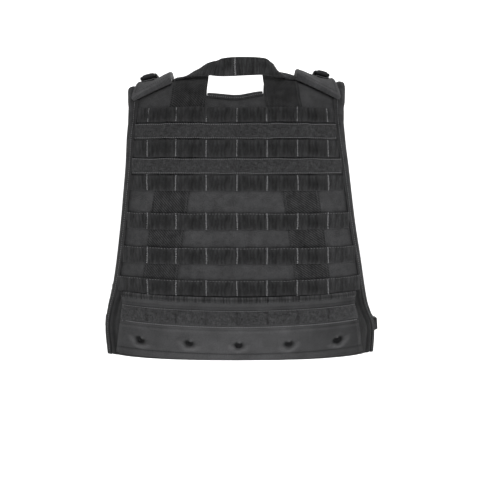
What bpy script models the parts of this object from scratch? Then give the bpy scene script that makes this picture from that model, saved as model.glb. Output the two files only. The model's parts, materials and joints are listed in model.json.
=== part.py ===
"""A webbed tactical vest, built in metres, +Z up, with the back of the vest towards -Y.

The inner face of the vest is one smooth form: level sections that are squared ovals, closed over the
shoulders by a rounded crest. Each piece is cut as a flat pattern, across the body and up it, and laid on
that form at its own height above it. Up the body is counted in degrees of turn: 0 where the back starts to
round over, 90 on the crest of the shoulders, 180 where the chest goes straight down again. Below that, one
degree is a fixed drop.
"""

import math

import bmesh
import bpy
from mathutils import Matrix, Vector

# The form: columns are level, half width, half depth and squareness of the oval.
SECTIONS = (
    (-0.440, 0.2110, 0.1190, 2.5),
    (-0.380, 0.2105, 0.1190, 2.5),
    (-0.320, 0.2045, 0.1180, 2.5),
    (-0.250, 0.1950, 0.1140, 2.7),
    (-0.160, 0.1840, 0.1120, 2.9),
)
# Underside of the shoulders: columns are place across the body and height of the crest.
CREST = (
    (-0.175, -0.0105),
    (-0.130, -0.0065),
    (-0.095, 0.0050),
    (-0.050, 0.0092),
    (0.000, 0.0100),
    (0.050, 0.0095),
    (0.090, 0.0080),
    (0.130, -0.0030),
    (0.170, -0.0012),
)
TURN_LEVEL = SECTIONS[-1][0]
ROUNDING = 2.4
DROP_PER_DEGREE = 0.002
FRONT_TURN = 180.0

# Layers
SEAT = 0.0005
TAPE_SEAT = 0.0012
NECK_TAPE_SEAT = 0.0007
PANEL_THICKNESS = 0.0080
TAPE_THICKNESS = 0.0012
WIDE_WEBBING_THICKNESS = 0.0014
POUCH_WEBBING_THICKNESS = 0.0016
LOOP_TAPE_THICKNESS = 0.0020
PANEL_TOP = PANEL_THICKNESS + 2 * SEAT
WEBBING_TOP = PANEL_TOP + WIDE_WEBBING_THICKNESS + SEAT

# Back panel: columns of BACK_EDGES are level, left edge and right edge.
HEM_LEVEL = -0.4050
BACK_EDGES = (
    (HEM_LEVEL, -0.1900, 0.2005),
    (-0.3650, -0.1938, 0.2020),
    (-0.3300, -0.1885, 0.1905),
    (-0.3060, -0.1820, 0.1855),
    (-0.2630, -0.1748, 0.1786),
    (-0.2070, -0.1677, 0.1690),
    (-0.1620, -0.1631, 0.1628),
    (-0.1170, -0.1590, 0.1572),
    (-0.0800, -0.1578, 0.1528),
    (-0.0340, -0.1565, 0.1518),
    (0.0000, -0.1650, 0.1625),
)
BACK_NOTCH = (-0.0460, 0.0385)
BACK_NOTCH_END = (-0.0660, 0.0620)
BACK_NOTCH_EASE = 3.0
# Neck row of the back: columns are place across and level.
BACK_NECK_LINE = (
    (-0.1600, -0.0250),
    (-0.0460, -0.0180),
    (0.0000, -0.0208),
    (0.0385, -0.0155),
    (0.1600, -0.0250),
)
BACK_END_TURN = 91.0

# Front panel: the same columns
FRONT_EDGES = (
    (HEM_LEVEL, -0.1700, 0.1700),
    (-0.300, -0.1640, 0.1640),
    (-0.220, -0.1500, 0.1500),
    (-0.140, -0.1420, 0.1420),
    (-0.070, -0.1480, 0.1480),
    (0.000, -0.1630, 0.1610),
)
FRONT_NOTCH = (-0.0500, 0.0500)
FRONT_NOTCH_END = (-0.0680, 0.0640)
FRONT_NOTCH_EASE = 0.6
FRONT_NECK_LEVEL = -0.0900
FRONT_NECK_RISE = 0.0120
FRONT_END_TURN = 92.0

# Cells of a panel's sheet
SIDE_PARTS = 7
NOTCH_PARTS = 6
BACK_SHOULDER_PARTS = 6
FRONT_SHOULDER_PARTS = 9
TAPE_COLUMN = 0.0100
NECK_COLUMN = 0.0080

# Edge tape: it wraps the panel's edge by these widths.
ARMHOLE_TAPE_TOP = 0.0112
ARMHOLE_TAPE_FOOT = 0.0075
NECK_TAPE_WIDTH = 0.0050
TAPE_INNER_WIDTH = 0.0060

# Webbing rows: columns are number, top level, foot level and how far the row rises at its ends.
WEBBING_ROWS = (
    (1, -0.0375, -0.0573, 0.0),
    (2, -0.0825, -0.1062, 0.0),
    (3, -0.1322, -0.1543, 0.0),
    (4, -0.1873, -0.2115, 0.0),
    (5, -0.2382, -0.2627, 0.0),
    (6, -0.2870, -0.3095, 0.0030),
)
END_RISE_REACH = 0.1700
END_RISE_POWER = 1.5
ROW_BAY_PARTS = 3
CURVED_ABOVE = -0.1200
TACK_COLUMNS = (-0.1300, -0.0888, -0.0455, -0.0008, 0.0430, 0.0865, 0.1305)
WEBBING_BOW = 0.0010
ROW_END_GAP = 0.0010

# Loop strips: columns are name, top level and foot level.
LOOP_STRIPS = (
    ("loop_strip_upper", -0.0595, -0.0802),
    ("loop_strip_lower", -0.1082, -0.1296),
)

# Shoulder webbings: columns are level, left centre and right centre.
WIDE_WEBBING_WIDTH = 0.0515
WIDE_WEBBING_LINE = (
    (-0.3065, -0.1150, 0.1120),
    (-0.1700, -0.0963, 0.0930),
    (-0.0900, -0.0830, 0.0800),
    (-0.0220, -0.0715, 0.0662),
)
WIDE_WEBBING_END_TURN = 80.0

# Drag handle: its ends lie on the shoulder webbings, with columns across, turn and lift off the webbing.
# Between them the columns are across, behind, height, width and lean of its face from upright.
HANDLE_LEFT_SEATS = ((-0.0930, 82.0, 0.0), (-0.0780, 84.0, 0.0010), (-0.0630, 84.0, 0.0020))
HANDLE_RIGHT_SEATS = ((0.0660, 79.0, 0.0010), (0.0760, 78.0, 0.0), (0.0855, 78.0, 0.0))
HANDLE_SEAT_WIDTH = 0.0260
HANDLE_STATIONS = (
    (-0.050, -0.0400, 0.0268, 0.0270, 64.0),
    (-0.040, -0.0470, 0.0288, 0.0280, 46.0),
    (-0.027, -0.0550, 0.0290, 0.0285, 26.0),
    (-0.004, -0.0590, 0.0310, 0.0285, 2.0),
    (0.020, -0.0590, 0.0315, 0.0275, 2.0),
    (0.038, -0.0560, 0.0318, 0.0255, 8.0),
    (0.047, -0.0510, 0.0285, 0.0255, 40.0),
    (0.056, -0.0450, 0.0265, 0.0270, 54.0),
)
HANDLE_THICKNESS = 0.0030

# Shoulder pads: columns are name, outer edge, inner edge, outer back level and inner back level.
PAD_THICKNESS = 0.0100
PAD_EDGE_SHARE = 0.5
PAD_EDGE_WIDTH = 0.0250
PAD_FOLD_HEIGHT = 0.0028
PAD_FOLD_WIDTH = 0.0160
PAD_LIFT = WEBBING_TOP + SEAT
PADS = (
    ("left", -0.1560, -0.0970, -0.0290, -0.0040),
    ("right", 0.1535, 0.0875, -0.0270, 0.0010),
)
PAD_FRONT_LEVEL = -0.0700

# Shoulder buckles and the straps they hold: columns are name, place across and turn on the crest. The length
# is measured on the form, so it comes out a third longer on top of the pad.
BUCKLE_WIDTH = 0.0335
BUCKLE_LENGTH = 0.0400
BUCKLE_THICKNESS = 0.0095
BUCKLES = (("left", -0.1330, 97.0), ("right", 0.1275, 97.0))
NARROW_STRAP_WIDTH = 0.0250
NARROW_STRAP_THICKNESS = 0.0014
STRAP_FOOT_LEVEL = -0.0660

# Closure flap: columns of FLAP_EDGES are level, left edge and right edge.
FLAP_TOP = -0.3118
FLAP_FOOT = -0.4040
FLAP_EDGES = (
    (FLAP_FOOT, -0.1770, 0.1828),
    (-0.3500, -0.1700, 0.1750),
    (-0.3300, -0.1675, 0.1705),
    (FLAP_TOP, -0.1700, 0.1720),
)
FLAP_RISE = 0.0045
FLAP_PARTS = 28
FLAP_ROWS = 5
FLAP_END_GAP = 0.0020
FLAP_THICKNESS = 0.0030
FLAP_LIFT = PANEL_THICKNESS + 0.0010
FLAP_TOP_FACE = FLAP_LIFT + FLAP_THICKNESS + SEAT
FLAP_BINDING_WIDTH = 0.0080
FLAP_LOOP_TOP = -0.3310
FLAP_LOOP_FOOT = -0.3520
SNAP_RADIUS = 0.0055
SNAP_HEIGHT = 0.0026
SNAP_SIDES = 14
# Snaps: columns are number, place across and level.
SNAPS = (
    (1, -0.1411, -0.3773),
    (2, -0.0705, -0.3790),
    (3, 0.0015, -0.3812),
    (4, 0.0741, -0.3799),
    (5, 0.1448, -0.3776),
)

# Side wings, by angle round the oval from the side: they run inside both panels.
WING_TOP = -0.3050
WING_FOOT = -0.4000
WING_THICKNESS = 0.0035
WING_CLEARANCE = 0.0010
WING_LIFT = -TAPE_SEAT - TAPE_THICKNESS - WING_CLEARANCE - WING_THICKNESS
WING_BACK_ANGLE = -30.0
WING_FRONT_ANGLE = 48.0
WING_PARTS = 18

# Wing straps: columns are name, side, buckle angle and how far the buckle stands off the wing.
WING_STRAPS = (("left", -1, 16.0, 0.0010), ("right", 1, 6.0, 0.0060))
WING_STRAP_LEVEL = -0.3700
WING_STRAP_END_ANGLE = 38.0
WING_BUCKLE_THICKNESS = 0.0080
WING_BUCKLE_WIDTH = 0.0300
WING_BUCKLE_SPAN = 17.0

# Finishes: columns are name, colour, roughness and metallic value.
FINISHES = {
    "panel_cloth": ((0.060, 0.060, 0.061), 0.88, 0.0),
    "pad_cloth": ((0.085, 0.085, 0.086), 0.90, 0.0),
    "flap_cloth": ((0.090, 0.090, 0.092), 0.88, 0.0),
    "webbing": ((0.030, 0.030, 0.031), 0.80, 0.0),
    "loop_tape": ((0.042, 0.042, 0.042), 0.96, 0.0),
    "edge_tape": ((0.040, 0.040, 0.041), 0.82, 0.0),
    "moulded_plastic": ((0.012, 0.012, 0.013), 0.42, 0.0),
    "dark_metal": ((0.020, 0.020, 0.021), 0.45, 0.8),
}

SMALL = 1e-4
SMALL_TURN = 0.05
SMOOTH_ANGLE = 35.0


def smooth_read(table, key, column):
    """Read a column of a table at a key, along a smooth curve through its rows."""
    rows = sorted(table)
    if key <= rows[0][0]:
        return rows[0][column]
    if key >= rows[-1][0]:
        return rows[-1][column]
    last = len(rows) - 2
    i = max(k for k in range(last + 1) if rows[k][0] <= key)
    before, low = rows[max(i - 1, 0)], rows[i]
    high, after = rows[i + 1], rows[min(i + 2, last + 1)]
    span = high[0] - low[0]
    t = (key - low[0]) / span
    low_slope = (high[column] - before[column]) / (high[0] - before[0]) * span
    high_slope = (after[column] - low[column]) / (after[0] - low[0]) * span
    rise = high[column] - low[column]
    return (
        low[column]
        + low_slope * t
        + (3 * rise - 2 * low_slope - high_slope) * t**2
        + (low_slope + high_slope - 2 * rise) * t**3
    )


def half_depth(across, level):
    """Depth of the form's oval at this place across it."""
    wide, deep, square = (smooth_read(SECTIONS, level, column) for column in (1, 2, 3))
    share = min(abs(across) / wide, 0.995)
    return deep * (1 - share**square) ** (1 / square)


def form_point(across, turn):
    """The point of the inner face at this place across and up the body."""
    if 0 <= turn <= FRONT_TURN:
        angle = math.radians(turn)
        rise = math.sin(angle) ** (2 / ROUNDING)
        forward = -math.copysign(abs(math.cos(angle)) ** (2 / ROUNDING), math.cos(angle))
        crest = smooth_read(CREST, across, 1)
        depth = forward * half_depth(across, TURN_LEVEL)
        return Vector((across, depth, TURN_LEVEL + (crest - TURN_LEVEL) * rise))
    below = -turn if turn < 0 else turn - FRONT_TURN
    level = TURN_LEVEL - below * DROP_PER_DEGREE
    return Vector((across, math.copysign(half_depth(across, level), turn), level))


def turn_at(across, level, front=False):
    """The turn at which the form reaches this level, on the back or the front."""
    if level <= TURN_LEVEL:
        turn = (level - TURN_LEVEL) / DROP_PER_DEGREE
    else:
        crest = smooth_read(CREST, across, 1)
        share = min((level - TURN_LEVEL) / (crest - TURN_LEVEL), 1.0)
        turn = math.degrees(math.asin(share ** (ROUNDING / 2)))
    return FRONT_TURN - turn if front else turn


def form_slopes(across, turn):
    """How the form runs across and up at a point."""
    sideways = form_point(across + SMALL, turn) - form_point(across - SMALL, turn)
    upward = form_point(across, turn + SMALL_TURN) - form_point(across, turn - SMALL_TURN)
    return sideways / (2 * SMALL), upward / (2 * SMALL_TURN)


def lay(across, turn, height):
    """The point this high above the form."""
    sideways, upward = form_slopes(across, turn)
    return form_point(across, turn) + sideways.cross(upward).normalized() * height


def shift(across, turn, direction, distance):
    """Move a pattern point along the form, this far in a direction of space."""
    sideways, upward = form_slopes(across, turn)
    along = direction.normalized() * distance
    a, b, c = sideways.dot(sideways), sideways.dot(upward), upward.dot(upward)
    p, q = along.dot(sideways), along.dot(upward)
    scale = a * c - b * b
    return across + (p * c - q * b) / scale, turn + (q * a - p * b) / scale


def even_places(start, end, turn_of, parts):
    """Places across, from start to end, that are equal lengths of cloth apart."""
    fine = parts * 8
    places = [start + (end - start) * k / fine for k in range(fine + 1)]
    points = [form_point(place, turn_of(place)) for place in places]
    lengths = [0.0]
    for before, after in zip(points, points[1:]):
        lengths.append(lengths[-1] + (after - before).length)
    chosen = []
    for part in range(parts + 1):
        wanted = lengths[-1] * part / parts
        k = max(i for i in range(fine) if lengths[i] <= wanted + 1e-12)
        share = (wanted - lengths[k]) / (lengths[k + 1] - lengths[k])
        chosen.append(places[k] + (places[k + 1] - places[k]) * share)
    return chosen


def steps(start, end, parts):
    """Equal steps from start to end, both included."""
    return [start + (end - start) * k / parts for k in range(parts + 1)]


def finish_of(name):
    """The named finish, made once."""
    if name in bpy.data.materials:
        return bpy.data.materials[name]
    colour, roughness, metallic = FINISHES[name]
    material = bpy.data.materials.new(name)
    material.use_nodes = True
    shader = material.node_tree.nodes["Principled BSDF"]
    shader.inputs["Base Color"].default_value = (*colour, 1.0)
    shader.inputs["Roughness"].default_value = roughness
    shader.inputs["Metallic"].default_value = metallic
    material.diffuse_color = (*colour, 1.0)
    return material


def add_object(name, mesh_data, finish, parent):
    """Turn a bmesh into a named object with its finish."""
    mesh = bpy.data.meshes.new(name)
    mesh_data.to_mesh(mesh)
    mesh_data.free()
    mesh.shade_smooth()
    mesh.set_sharp_from_angle(angle=math.radians(SMOOTH_ANGLE))
    mesh.materials.append(finish_of(finish))
    piece = bpy.data.objects.new(name, mesh)
    piece.parent = parent
    bpy.context.collection.objects.link(piece)
    return piece


def cloth(name, lower, upper, finish, parent, missing=None, flip=False):
    """A sheet between two grids of points, a list for each row, closed by a wall round its edge."""
    sheet = bmesh.new()
    low = [[sheet.verts.new(point) for point in row] for row in lower]
    high = [[sheet.verts.new(point) for point in row] for row in upper]
    above = {}
    for low_row, high_row in zip(low, high):
        above.update(zip(low_row, high_row))
    for j in range(len(low) - 1):
        for i in range(len(low[0]) - 1):
            if missing and missing(i, j):
                continue
            corners = [low[j][i], low[j][i + 1], low[j + 1][i + 1], low[j + 1][i]]
            if flip:
                corners.reverse()
            sheet.faces.new(corners[::-1])
            sheet.faces.new([above[corner] for corner in corners])
    for edge in [edge for edge in sheet.edges if len(edge.link_faces) == 1]:
        loop = edge.link_loops[0]
        start, end = loop.link_loop_next.vert, loop.vert
        if start in above:
            sheet.faces.new([start, end, above[end], above[start]])
    loose = [vertex for vertex in sheet.verts if not vertex.link_faces]
    bmesh.ops.delete(sheet, geom=loose, context="VERTS")
    return add_object(name, sheet, finish, parent)


def laid_cloth(name, pattern, height, thickness, finish, parent, missing=None, flip=False):
    """A sheet of this thickness over a grid of pattern points, its lower face this high above the form."""
    lower = [[lay(across, turn, height) for across, turn in row] for row in pattern]
    upper = [[lay(across, turn, height + thickness) for across, turn in row] for row in pattern]
    return cloth(name, lower, upper, finish, parent, missing, flip)


def bar(name, loops, finish, parent):
    """A closed bar through a list of loops of points, capped at both ends."""
    body = bmesh.new()
    rings = [[body.verts.new(point) for point in loop] for loop in loops]
    count = len(rings[0])
    for near, far in zip(rings, rings[1:]):
        for k in range(count):
            after = (k + 1) % count
            body.faces.new([near[k], near[after], far[after], far[k]])
    body.faces.new(rings[0][::-1])
    body.faces.new(rings[-1])
    bmesh.ops.recalc_face_normals(body, faces=body.faces)
    return add_object(name, body, finish, parent)


def edge_at(edges, level, right):
    """The panel's edge at a level, on its left or right."""
    return smooth_read(edges, level, 2 if right else 1)


def edge_places(edge, notch, turn_of, parts):
    """Places from a panel's edge in to its notch, the first one close enough to carry the edge tape."""
    sideways, _ = form_slopes(edge, turn_of(edge))
    inward = math.copysign(1.0, notch - edge)
    taped = shift(edge, turn_of(edge), sideways * inward, TAPE_COLUMN)[0]
    return [edge, *even_places(taped, notch, turn_of, parts - 1)]


def row_across(edges, notch, level, turn_of):
    """Places of one row of a panel, from its left edge over the notch to its right edge."""
    places = edge_places(edge_at(edges, level, False), notch[0], turn_of, SIDE_PARTS)
    places += even_places(notch[0], notch[1], turn_of, NOTCH_PARTS)[1:-1]
    return places + edge_places(edge_at(edges, level, True), notch[1], turn_of, SIDE_PARTS)[::-1]


def panel_grid(edges, notch, notch_end, ease, levels, neck, shoulder_parts, end_turn, front):
    """Pattern points of a panel, rows of (across, turn), and the test for the cells of its neck.

    neck gives the level of the neck row at each place across. Above that row the panel goes on as two
    shoulders, whose rows are spread evenly up to end_turn while the neck widens to notch_end.
    """
    spread = [(level, lambda across, level=level: turn_at(across, level, front)) for level in levels]
    for below in (NECK_COLUMN, 0.0):
        level = neck(0.0) - below
        spread.append((level, lambda across, below=below: turn_at(across, neck(across) - below, front)))
    rows = []
    for level, turn_of in spread:
        rows.append([(across, turn_of(across)) for across in row_across(edges, notch, level, turn_of)])
    narrow = row_across(edges, notch, 0.0, lambda across: end_turn)
    wide = row_across(edges, notch_end, 0.0, lambda across: end_turn)
    neck_index = len(rows) - 1
    for share in steps(0.0, 1.0, shoulder_parts)[1:]:
        row = []
        for (across, turn), near, far in zip(rows[neck_index], narrow, wide):
            place = across + (near - across) * share + (far - near) * share**ease
            row.append((place, turn + (end_turn - turn) * share))
        rows.append(row)
    return rows, lambda i, j: j >= neck_index and SIDE_PARTS <= i < SIDE_PARTS + NOTCH_PARTS


def tape_section(width, seat):
    """Section of folded edge tape: pairs of distance in from the edge and height over the form."""
    low, high = -seat, PANEL_THICKNESS + seat
    fold = -seat - TAPE_THICKNESS
    return (
        (width, high),
        (width, high + TAPE_THICKNESS),
        (fold, high + TAPE_THICKNESS),
        (fold, low - TAPE_THICKNESS),
        (TAPE_INNER_WIDTH, low - TAPE_THICKNESS),
        (TAPE_INNER_WIDTH, low),
        (-seat, low),
        (-seat, high),
    )


def edge_tape(name, path, widths, inward_sign, parent, seat=NECK_TAPE_SEAT, level_ends=False):
    """Folded tape along a path of pattern points on a panel's edge, cut level at both ends if asked."""
    loops = []
    rim = (0, len(path) - 1) if level_ends else ()
    for k, (across, turn) in enumerate(path):
        before, after = path[max(k - 1, 0)], path[min(k + 1, len(path) - 1)]
        run = form_point(*after) - form_point(*before)
        sideways, upward = form_slopes(across, turn)
        inward = sideways.cross(upward).cross(run) * inward_sign
        if k in rim:
            inward = sideways * math.copysign(1.0, inward.x)
        loop = []
        for distance, height in tape_section(widths[k], seat):
            loop.append(lay(*shift(across, turn, inward, distance), height))
        loops.append(loop)
    return bar(name, loops, "edge_tape", parent)


def build_armhole_tapes(label, grid, front, parent):
    """Edge tape down both sides of a panel, wider at the shoulder than at the hem."""
    count = len(grid)
    widths = steps(ARMHOLE_TAPE_FOOT, ARMHOLE_TAPE_TOP, count - 1)
    sign = -1 if front else 1
    for side, column in (("left", 0), ("right", -1)):
        path = [row[column] for row in grid]
        inward_sign = sign * (-1 if side == "left" else 1)
        name = f"{label}_binding_{side}"
        edge_tape(name, path, widths, inward_sign, parent, seat=TAPE_SEAT, level_ends=True)


def back_neck(across):
    """Level of the back's neck row: it lifts a little at the notch, and falls to the armholes."""
    return smooth_read(BACK_NECK_LINE, across, 1)


def front_neck(across):
    """Level of the front's neck row, which scoops down to the middle."""
    share = min(abs(across) / FRONT_NOTCH[1], 1.0)
    return FRONT_NECK_LEVEL + FRONT_NECK_RISE * share**2


def build_front_neck_tape(grid, parent):
    """Edge tape down one side of the front's notch, across its foot and up the other side."""
    shoulders = grid[-FRONT_SHOULDER_PARTS - 1 :]
    left, right = SIDE_PARTS, SIDE_PARTS + NOTCH_PARTS
    path = [row[left] for row in shoulders[::-1]]
    path += shoulders[0][left + 1 : right]
    path += [row[right] for row in shoulders]
    edge_tape("front_neck_binding", path, [NECK_TAPE_WIDTH] * len(path), 1, parent)


def laid_band(name, places, turns_at, height, thickness, finish, parent, bow=None):
    """A flat band laid across the form: turns_at gives its turns, foot to top, at a place across."""
    bow = bow or (lambda across: 0.0)
    pattern = list(zip(*[[(across, turn) for turn in turns_at(across)] for across in places]))
    lower = [[lay(across, turn, height + bow(across)) for across, turn in row] for row in pattern]
    upper = [[lay(across, turn, height + bow(across) + thickness) for across, turn in row] for row in pattern]
    return cloth(name, lower, upper, finish, parent)


def level_turns(foot, top, parts, end_rise=0.0):
    """A function that gives the turns of even levels at a place across, higher towards the sides by end_rise."""

    def turns(across):
        rise = end_rise * (abs(across) / END_RISE_REACH) ** END_RISE_POWER
        return [turn_at(across, level + rise) for level in steps(foot, top, parts)]

    return turns


def webbing_bow(across):
    """How far the pouch webbing stands off between two tacks."""
    for left, right in zip(TACK_COLUMNS, TACK_COLUMNS[1:]):
        if left < across < right:
            share = (across - left) / (right - left)
            return WEBBING_BOW * (1 - (2 * share - 1) ** 4)
    return 0.0


def row_places(foot, top):
    """Columns of a row from tape to tape, with a few cells of cloth between two tacks."""
    level = (foot + top) / 2
    ends = []
    for right in (False, True):
        edge = edge_at(BACK_EDGES, level, right)
        turn = turn_at(edge, level)
        sideways, _ = form_slopes(edge, turn)
        inward = -sideways if right else sideways
        ends.append(shift(edge, turn, inward, ARMHOLE_TAPE_TOP + ROW_END_GAP)[0])
    stops = [ends[0], *TACK_COLUMNS, ends[1]]
    places = [stops[0]]
    for near, far in zip(stops, stops[1:]):
        places += steps(near, far, ROW_BAY_PARTS)[1:]
    return places


def build_rows(parent):
    """The six rows of pouch webbing."""
    for number, top, foot, end_rise in WEBBING_ROWS:
        laid_band(
            f"webbing_row_{number}",
            row_places(foot, top),
            level_turns(foot, top, 2 if foot > CURVED_ABOVE else 1, end_rise),
            WEBBING_TOP,
            POUCH_WEBBING_THICKNESS,
            "webbing",
            parent,
            webbing_bow,
        )


def build_loop_strips(parent):
    """The two strips of loop tape between the upper rows."""
    for name, top, foot in LOOP_STRIPS:
        laid_band(
            name,
            row_places(foot, top),
            level_turns(foot, top, 1),
            WEBBING_TOP,
            LOOP_TAPE_THICKNESS,
            "loop_tape",
            parent,
        )


def build_wide_webbing(side, column, parent):
    """One wide webbing, from the closure flap up over the shoulder's edge to the handle."""
    levels = [row[0] for row in WIDE_WEBBING_LINE]
    centres = []
    for level in steps(min(levels), max(levels), 18):
        across = smooth_read(WIDE_WEBBING_LINE, level, column)
        centres.append((across, turn_at(across, level)))
    top_across, top_turn = centres[-1]
    lean = centres[-1][0] - centres[-2][0]
    for share in steps(0.0, 1.0, 6)[1:]:
        centres.append((top_across + lean * share, top_turn + (WIDE_WEBBING_END_TURN - top_turn) * share))
    pattern = []
    for k, (across, turn) in enumerate(centres):
        before, after = centres[max(k - 1, 0)], centres[min(k + 1, len(centres) - 1)]
        run = form_point(*after) - form_point(*before)
        sideways, upward = form_slopes(across, turn)
        to_right = run.cross(sideways.cross(upward))
        distances = steps(-WIDE_WEBBING_WIDTH / 2, WIDE_WEBBING_WIDTH / 2, 4)
        pattern.append([shift(across, turn, to_right, distance) for distance in distances])
    name = f"shoulder_webbing_{side}"
    return laid_cloth(name, pattern, PANEL_TOP, WIDE_WEBBING_THICKNESS, "webbing", parent)


def handle_seat(across, turn, lift):
    """Centre, width and face of the handle where it lies on the shoulder webbing."""
    centre = lay(across, turn, WEBBING_TOP + lift + HANDLE_THICKNESS / 2)
    return centre, HANDLE_SEAT_WIDTH, centre - form_point(across, turn)


def handle_station(across, behind, height, width, lean):
    """Centre, width and face of the handle where it hangs free between its seats."""
    face = Matrix.Rotation(math.radians(-lean), 3, "X") @ Vector((0.0, -1.0, 0.0))
    return Vector((across, behind, height)), width, face


def build_handle(parent):
    """The drag handle: flat on the shoulders, upright behind the neck."""
    stations = [handle_seat(*seat) for seat in HANDLE_LEFT_SEATS]
    stations += [handle_station(*station) for station in HANDLE_STATIONS]
    stations += [handle_seat(*seat) for seat in HANDLE_RIGHT_SEATS]
    skin = HANDLE_THICKNESS / 2
    loops = []
    for k, (centre, width, face) in enumerate(stations):
        before, after = stations[max(k - 1, 0)][0], stations[min(k + 1, len(stations) - 1)][0]
        run = (after - before).normalized()
        out = (face - run * face.dot(run)).normalized()
        up = out.cross(run)
        half = width / 2
        corners = ((-half, -skin), (-half, skin), (0.0, skin), (half, skin), (half, -skin), (0.0, -skin))
        loops.append([centre + up * along + out * away for along, away in corners])
    return bar("drag_handle", loops, "webbing", parent)


def build_pad(side, outer, inner, outer_level, inner_level, parent):
    """One shoulder pad, from its end on the back over the crest to the chest, thinner at its outer edge."""
    across_parts, along_parts = 7, 12
    lower, upper = [], []
    for across in sorted(steps(inner, outer, across_parts)):
        share = (across - inner) / (outer - inner)
        start = turn_at(across, inner_level + (outer_level - inner_level) * share)
        end = turn_at(across, PAD_FRONT_LEVEL, front=True)
        inset = min(abs(across - outer) / PAD_EDGE_WIDTH, 1.0)
        fullness = PAD_EDGE_SHARE + (1 - PAD_EDGE_SHARE) * math.sin(inset * math.pi / 2)
        fold = max(1 - abs(across - inner) / PAD_FOLD_WIDTH, 0.0)
        top = PAD_LIFT + PAD_THICKNESS * fullness + PAD_FOLD_HEIGHT * fold
        turns = steps(start, end, along_parts)
        lower.append([lay(across, turn, PAD_LIFT) for turn in turns])
        upper.append([lay(across, turn, top) for turn in turns])
    pad = cloth(f"shoulder_pad_{side}", lower, upper, "pad_cloth", parent, flip=True)
    rounding = pad.modifiers.new("rounded edges", "BEVEL")
    rounding.width = 0.0018
    rounding.segments = 1
    rounding.limit_method = "ANGLE"
    rounding.angle_limit = math.radians(50)
    return pad


def build_buckle(side, across, turn, parent):
    """A fastened side-release buckle on the crest: an arched body with a waist between its two halves."""
    base = PAD_LIFT + PAD_THICKNESS + 2 * SEAT + NARROW_STRAP_THICKNESS
    stations = ((-0.5, 0.86, 0.55), (-0.36, 1.0, 0.9), (-0.1, 0.96, 1.0), (0.06, 0.84, 1.0))
    stations += ((0.2, 1.0, 0.95), (0.4, 0.94, 0.8), (0.5, 0.8, 0.5))
    _, upward = form_slopes(across, turn)
    loops = []
    for along, wide, thick in stations:
        place, here = shift(across, turn, upward, along * BUCKLE_LENGTH)
        half = BUCKLE_WIDTH / 2 * wide
        top = BUCKLE_THICKNESS * thick
        rim = ((-1.0, 0.0), (1.0, 0.0), (1.0, 0.45), (0.6, 0.9), (0.0, 1.0), (-0.6, 0.9), (-1.0, 0.45))
        loops.append([lay(place + half * x, here, base + top * z) for x, z in rim])
    return bar(f"shoulder_buckle_{side}", loops, "moulded_plastic", parent)


def build_shoulder_strap(side, across, turn, parent):
    """The narrow strap under the buckle, down the front of the pad."""
    base = PAD_LIFT + PAD_THICKNESS + SEAT
    end = turn_at(across, STRAP_FOOT_LEVEL, front=True)
    half = NARROW_STRAP_WIDTH / 2
    pattern = [[(across + x, here) for x in (-half, 0.0, half)] for here in steps(turn - 18.0, end, 14)]
    name = f"shoulder_strap_{side}"
    return laid_cloth(name, pattern, base, NARROW_STRAP_THICKNESS, "webbing", parent)


def flap_places(level, inset):
    """Equal lengths of cloth across the flap, from this far in on one side to the other."""
    left = edge_at(FLAP_EDGES, level, False) + inset
    right = edge_at(FLAP_EDGES, level, True) - inset
    return even_places(left, right, lambda across: turn_at(across, level), FLAP_PARTS)


def build_flap(parent):
    """The closure flap across the hem, with its tape and loop strip."""
    turns_at = level_turns(FLAP_FOOT, FLAP_TOP, FLAP_ROWS, FLAP_RISE)
    rows = []
    for k, level in enumerate(steps(FLAP_FOOT, FLAP_TOP, FLAP_ROWS)):
        rows.append([(across, turns_at(across)[k]) for across in flap_places(level, 0.0)])
    laid_cloth("closure_flap", rows, FLAP_LIFT, FLAP_THICKNESS, "flap_cloth", parent)
    foot = FLAP_TOP - FLAP_BINDING_WIDTH
    laid_band(
        "flap_binding",
        flap_places(foot, FLAP_END_GAP),
        level_turns(foot, FLAP_TOP, 1, FLAP_RISE),
        FLAP_TOP_FACE,
        TAPE_THICKNESS,
        "edge_tape",
        parent,
    )
    laid_band(
        "flap_loop_strip",
        flap_places(FLAP_LOOP_FOOT, FLAP_END_GAP),
        level_turns(FLAP_LOOP_FOOT, FLAP_LOOP_TOP, 1, FLAP_RISE),
        FLAP_TOP_FACE,
        LOOP_TAPE_THICKNESS,
        "loop_tape",
        parent,
    )


def build_snap(number, across, level, parent):
    """One set-in snap: a low dome with a flat cap, square to the flap."""
    turn = turn_at(across, level)
    seat = lay(across, turn, FLAP_TOP_FACE)
    outward = (lay(across, turn, 1.0) - lay(across, turn, 0.0)).normalized()
    dome = bmesh.new()
    bmesh.ops.create_cone(
        dome,
        cap_ends=True,
        segments=SNAP_SIDES,
        radius1=SNAP_RADIUS,
        radius2=SNAP_RADIUS * 0.62,
        depth=SNAP_HEIGHT,
        matrix=Matrix.Translation((0.0, 0.0, SNAP_HEIGHT / 2)),
    )
    snap = add_object(f"flap_snap_{number}", dome, "dark_metal", parent)
    snap.location = seat
    snap.rotation_euler = outward.to_track_quat("Z", "Y").to_euler()
    return snap


def ring_point(angle, level, height, side):
    """A point by angle round the level oval from its side, this high above it."""
    wide, deep, square = (smooth_read(SECTIONS, level, column) for column in (1, 2, 3))

    def rim(degrees):
        cosine, sine = math.cos(math.radians(degrees)), math.sin(math.radians(degrees))
        x = wide * math.copysign(abs(cosine) ** (2 / square), cosine)
        y = deep * math.copysign(abs(sine) ** (2 / square), sine)
        return Vector((side * x, y, level))

    ahead = rim(angle + 1.0) - rim(angle - 1.0)
    outward = Vector((ahead.y, -ahead.x, 0.0)).normalized() * side
    return rim(angle) + outward * height


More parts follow.
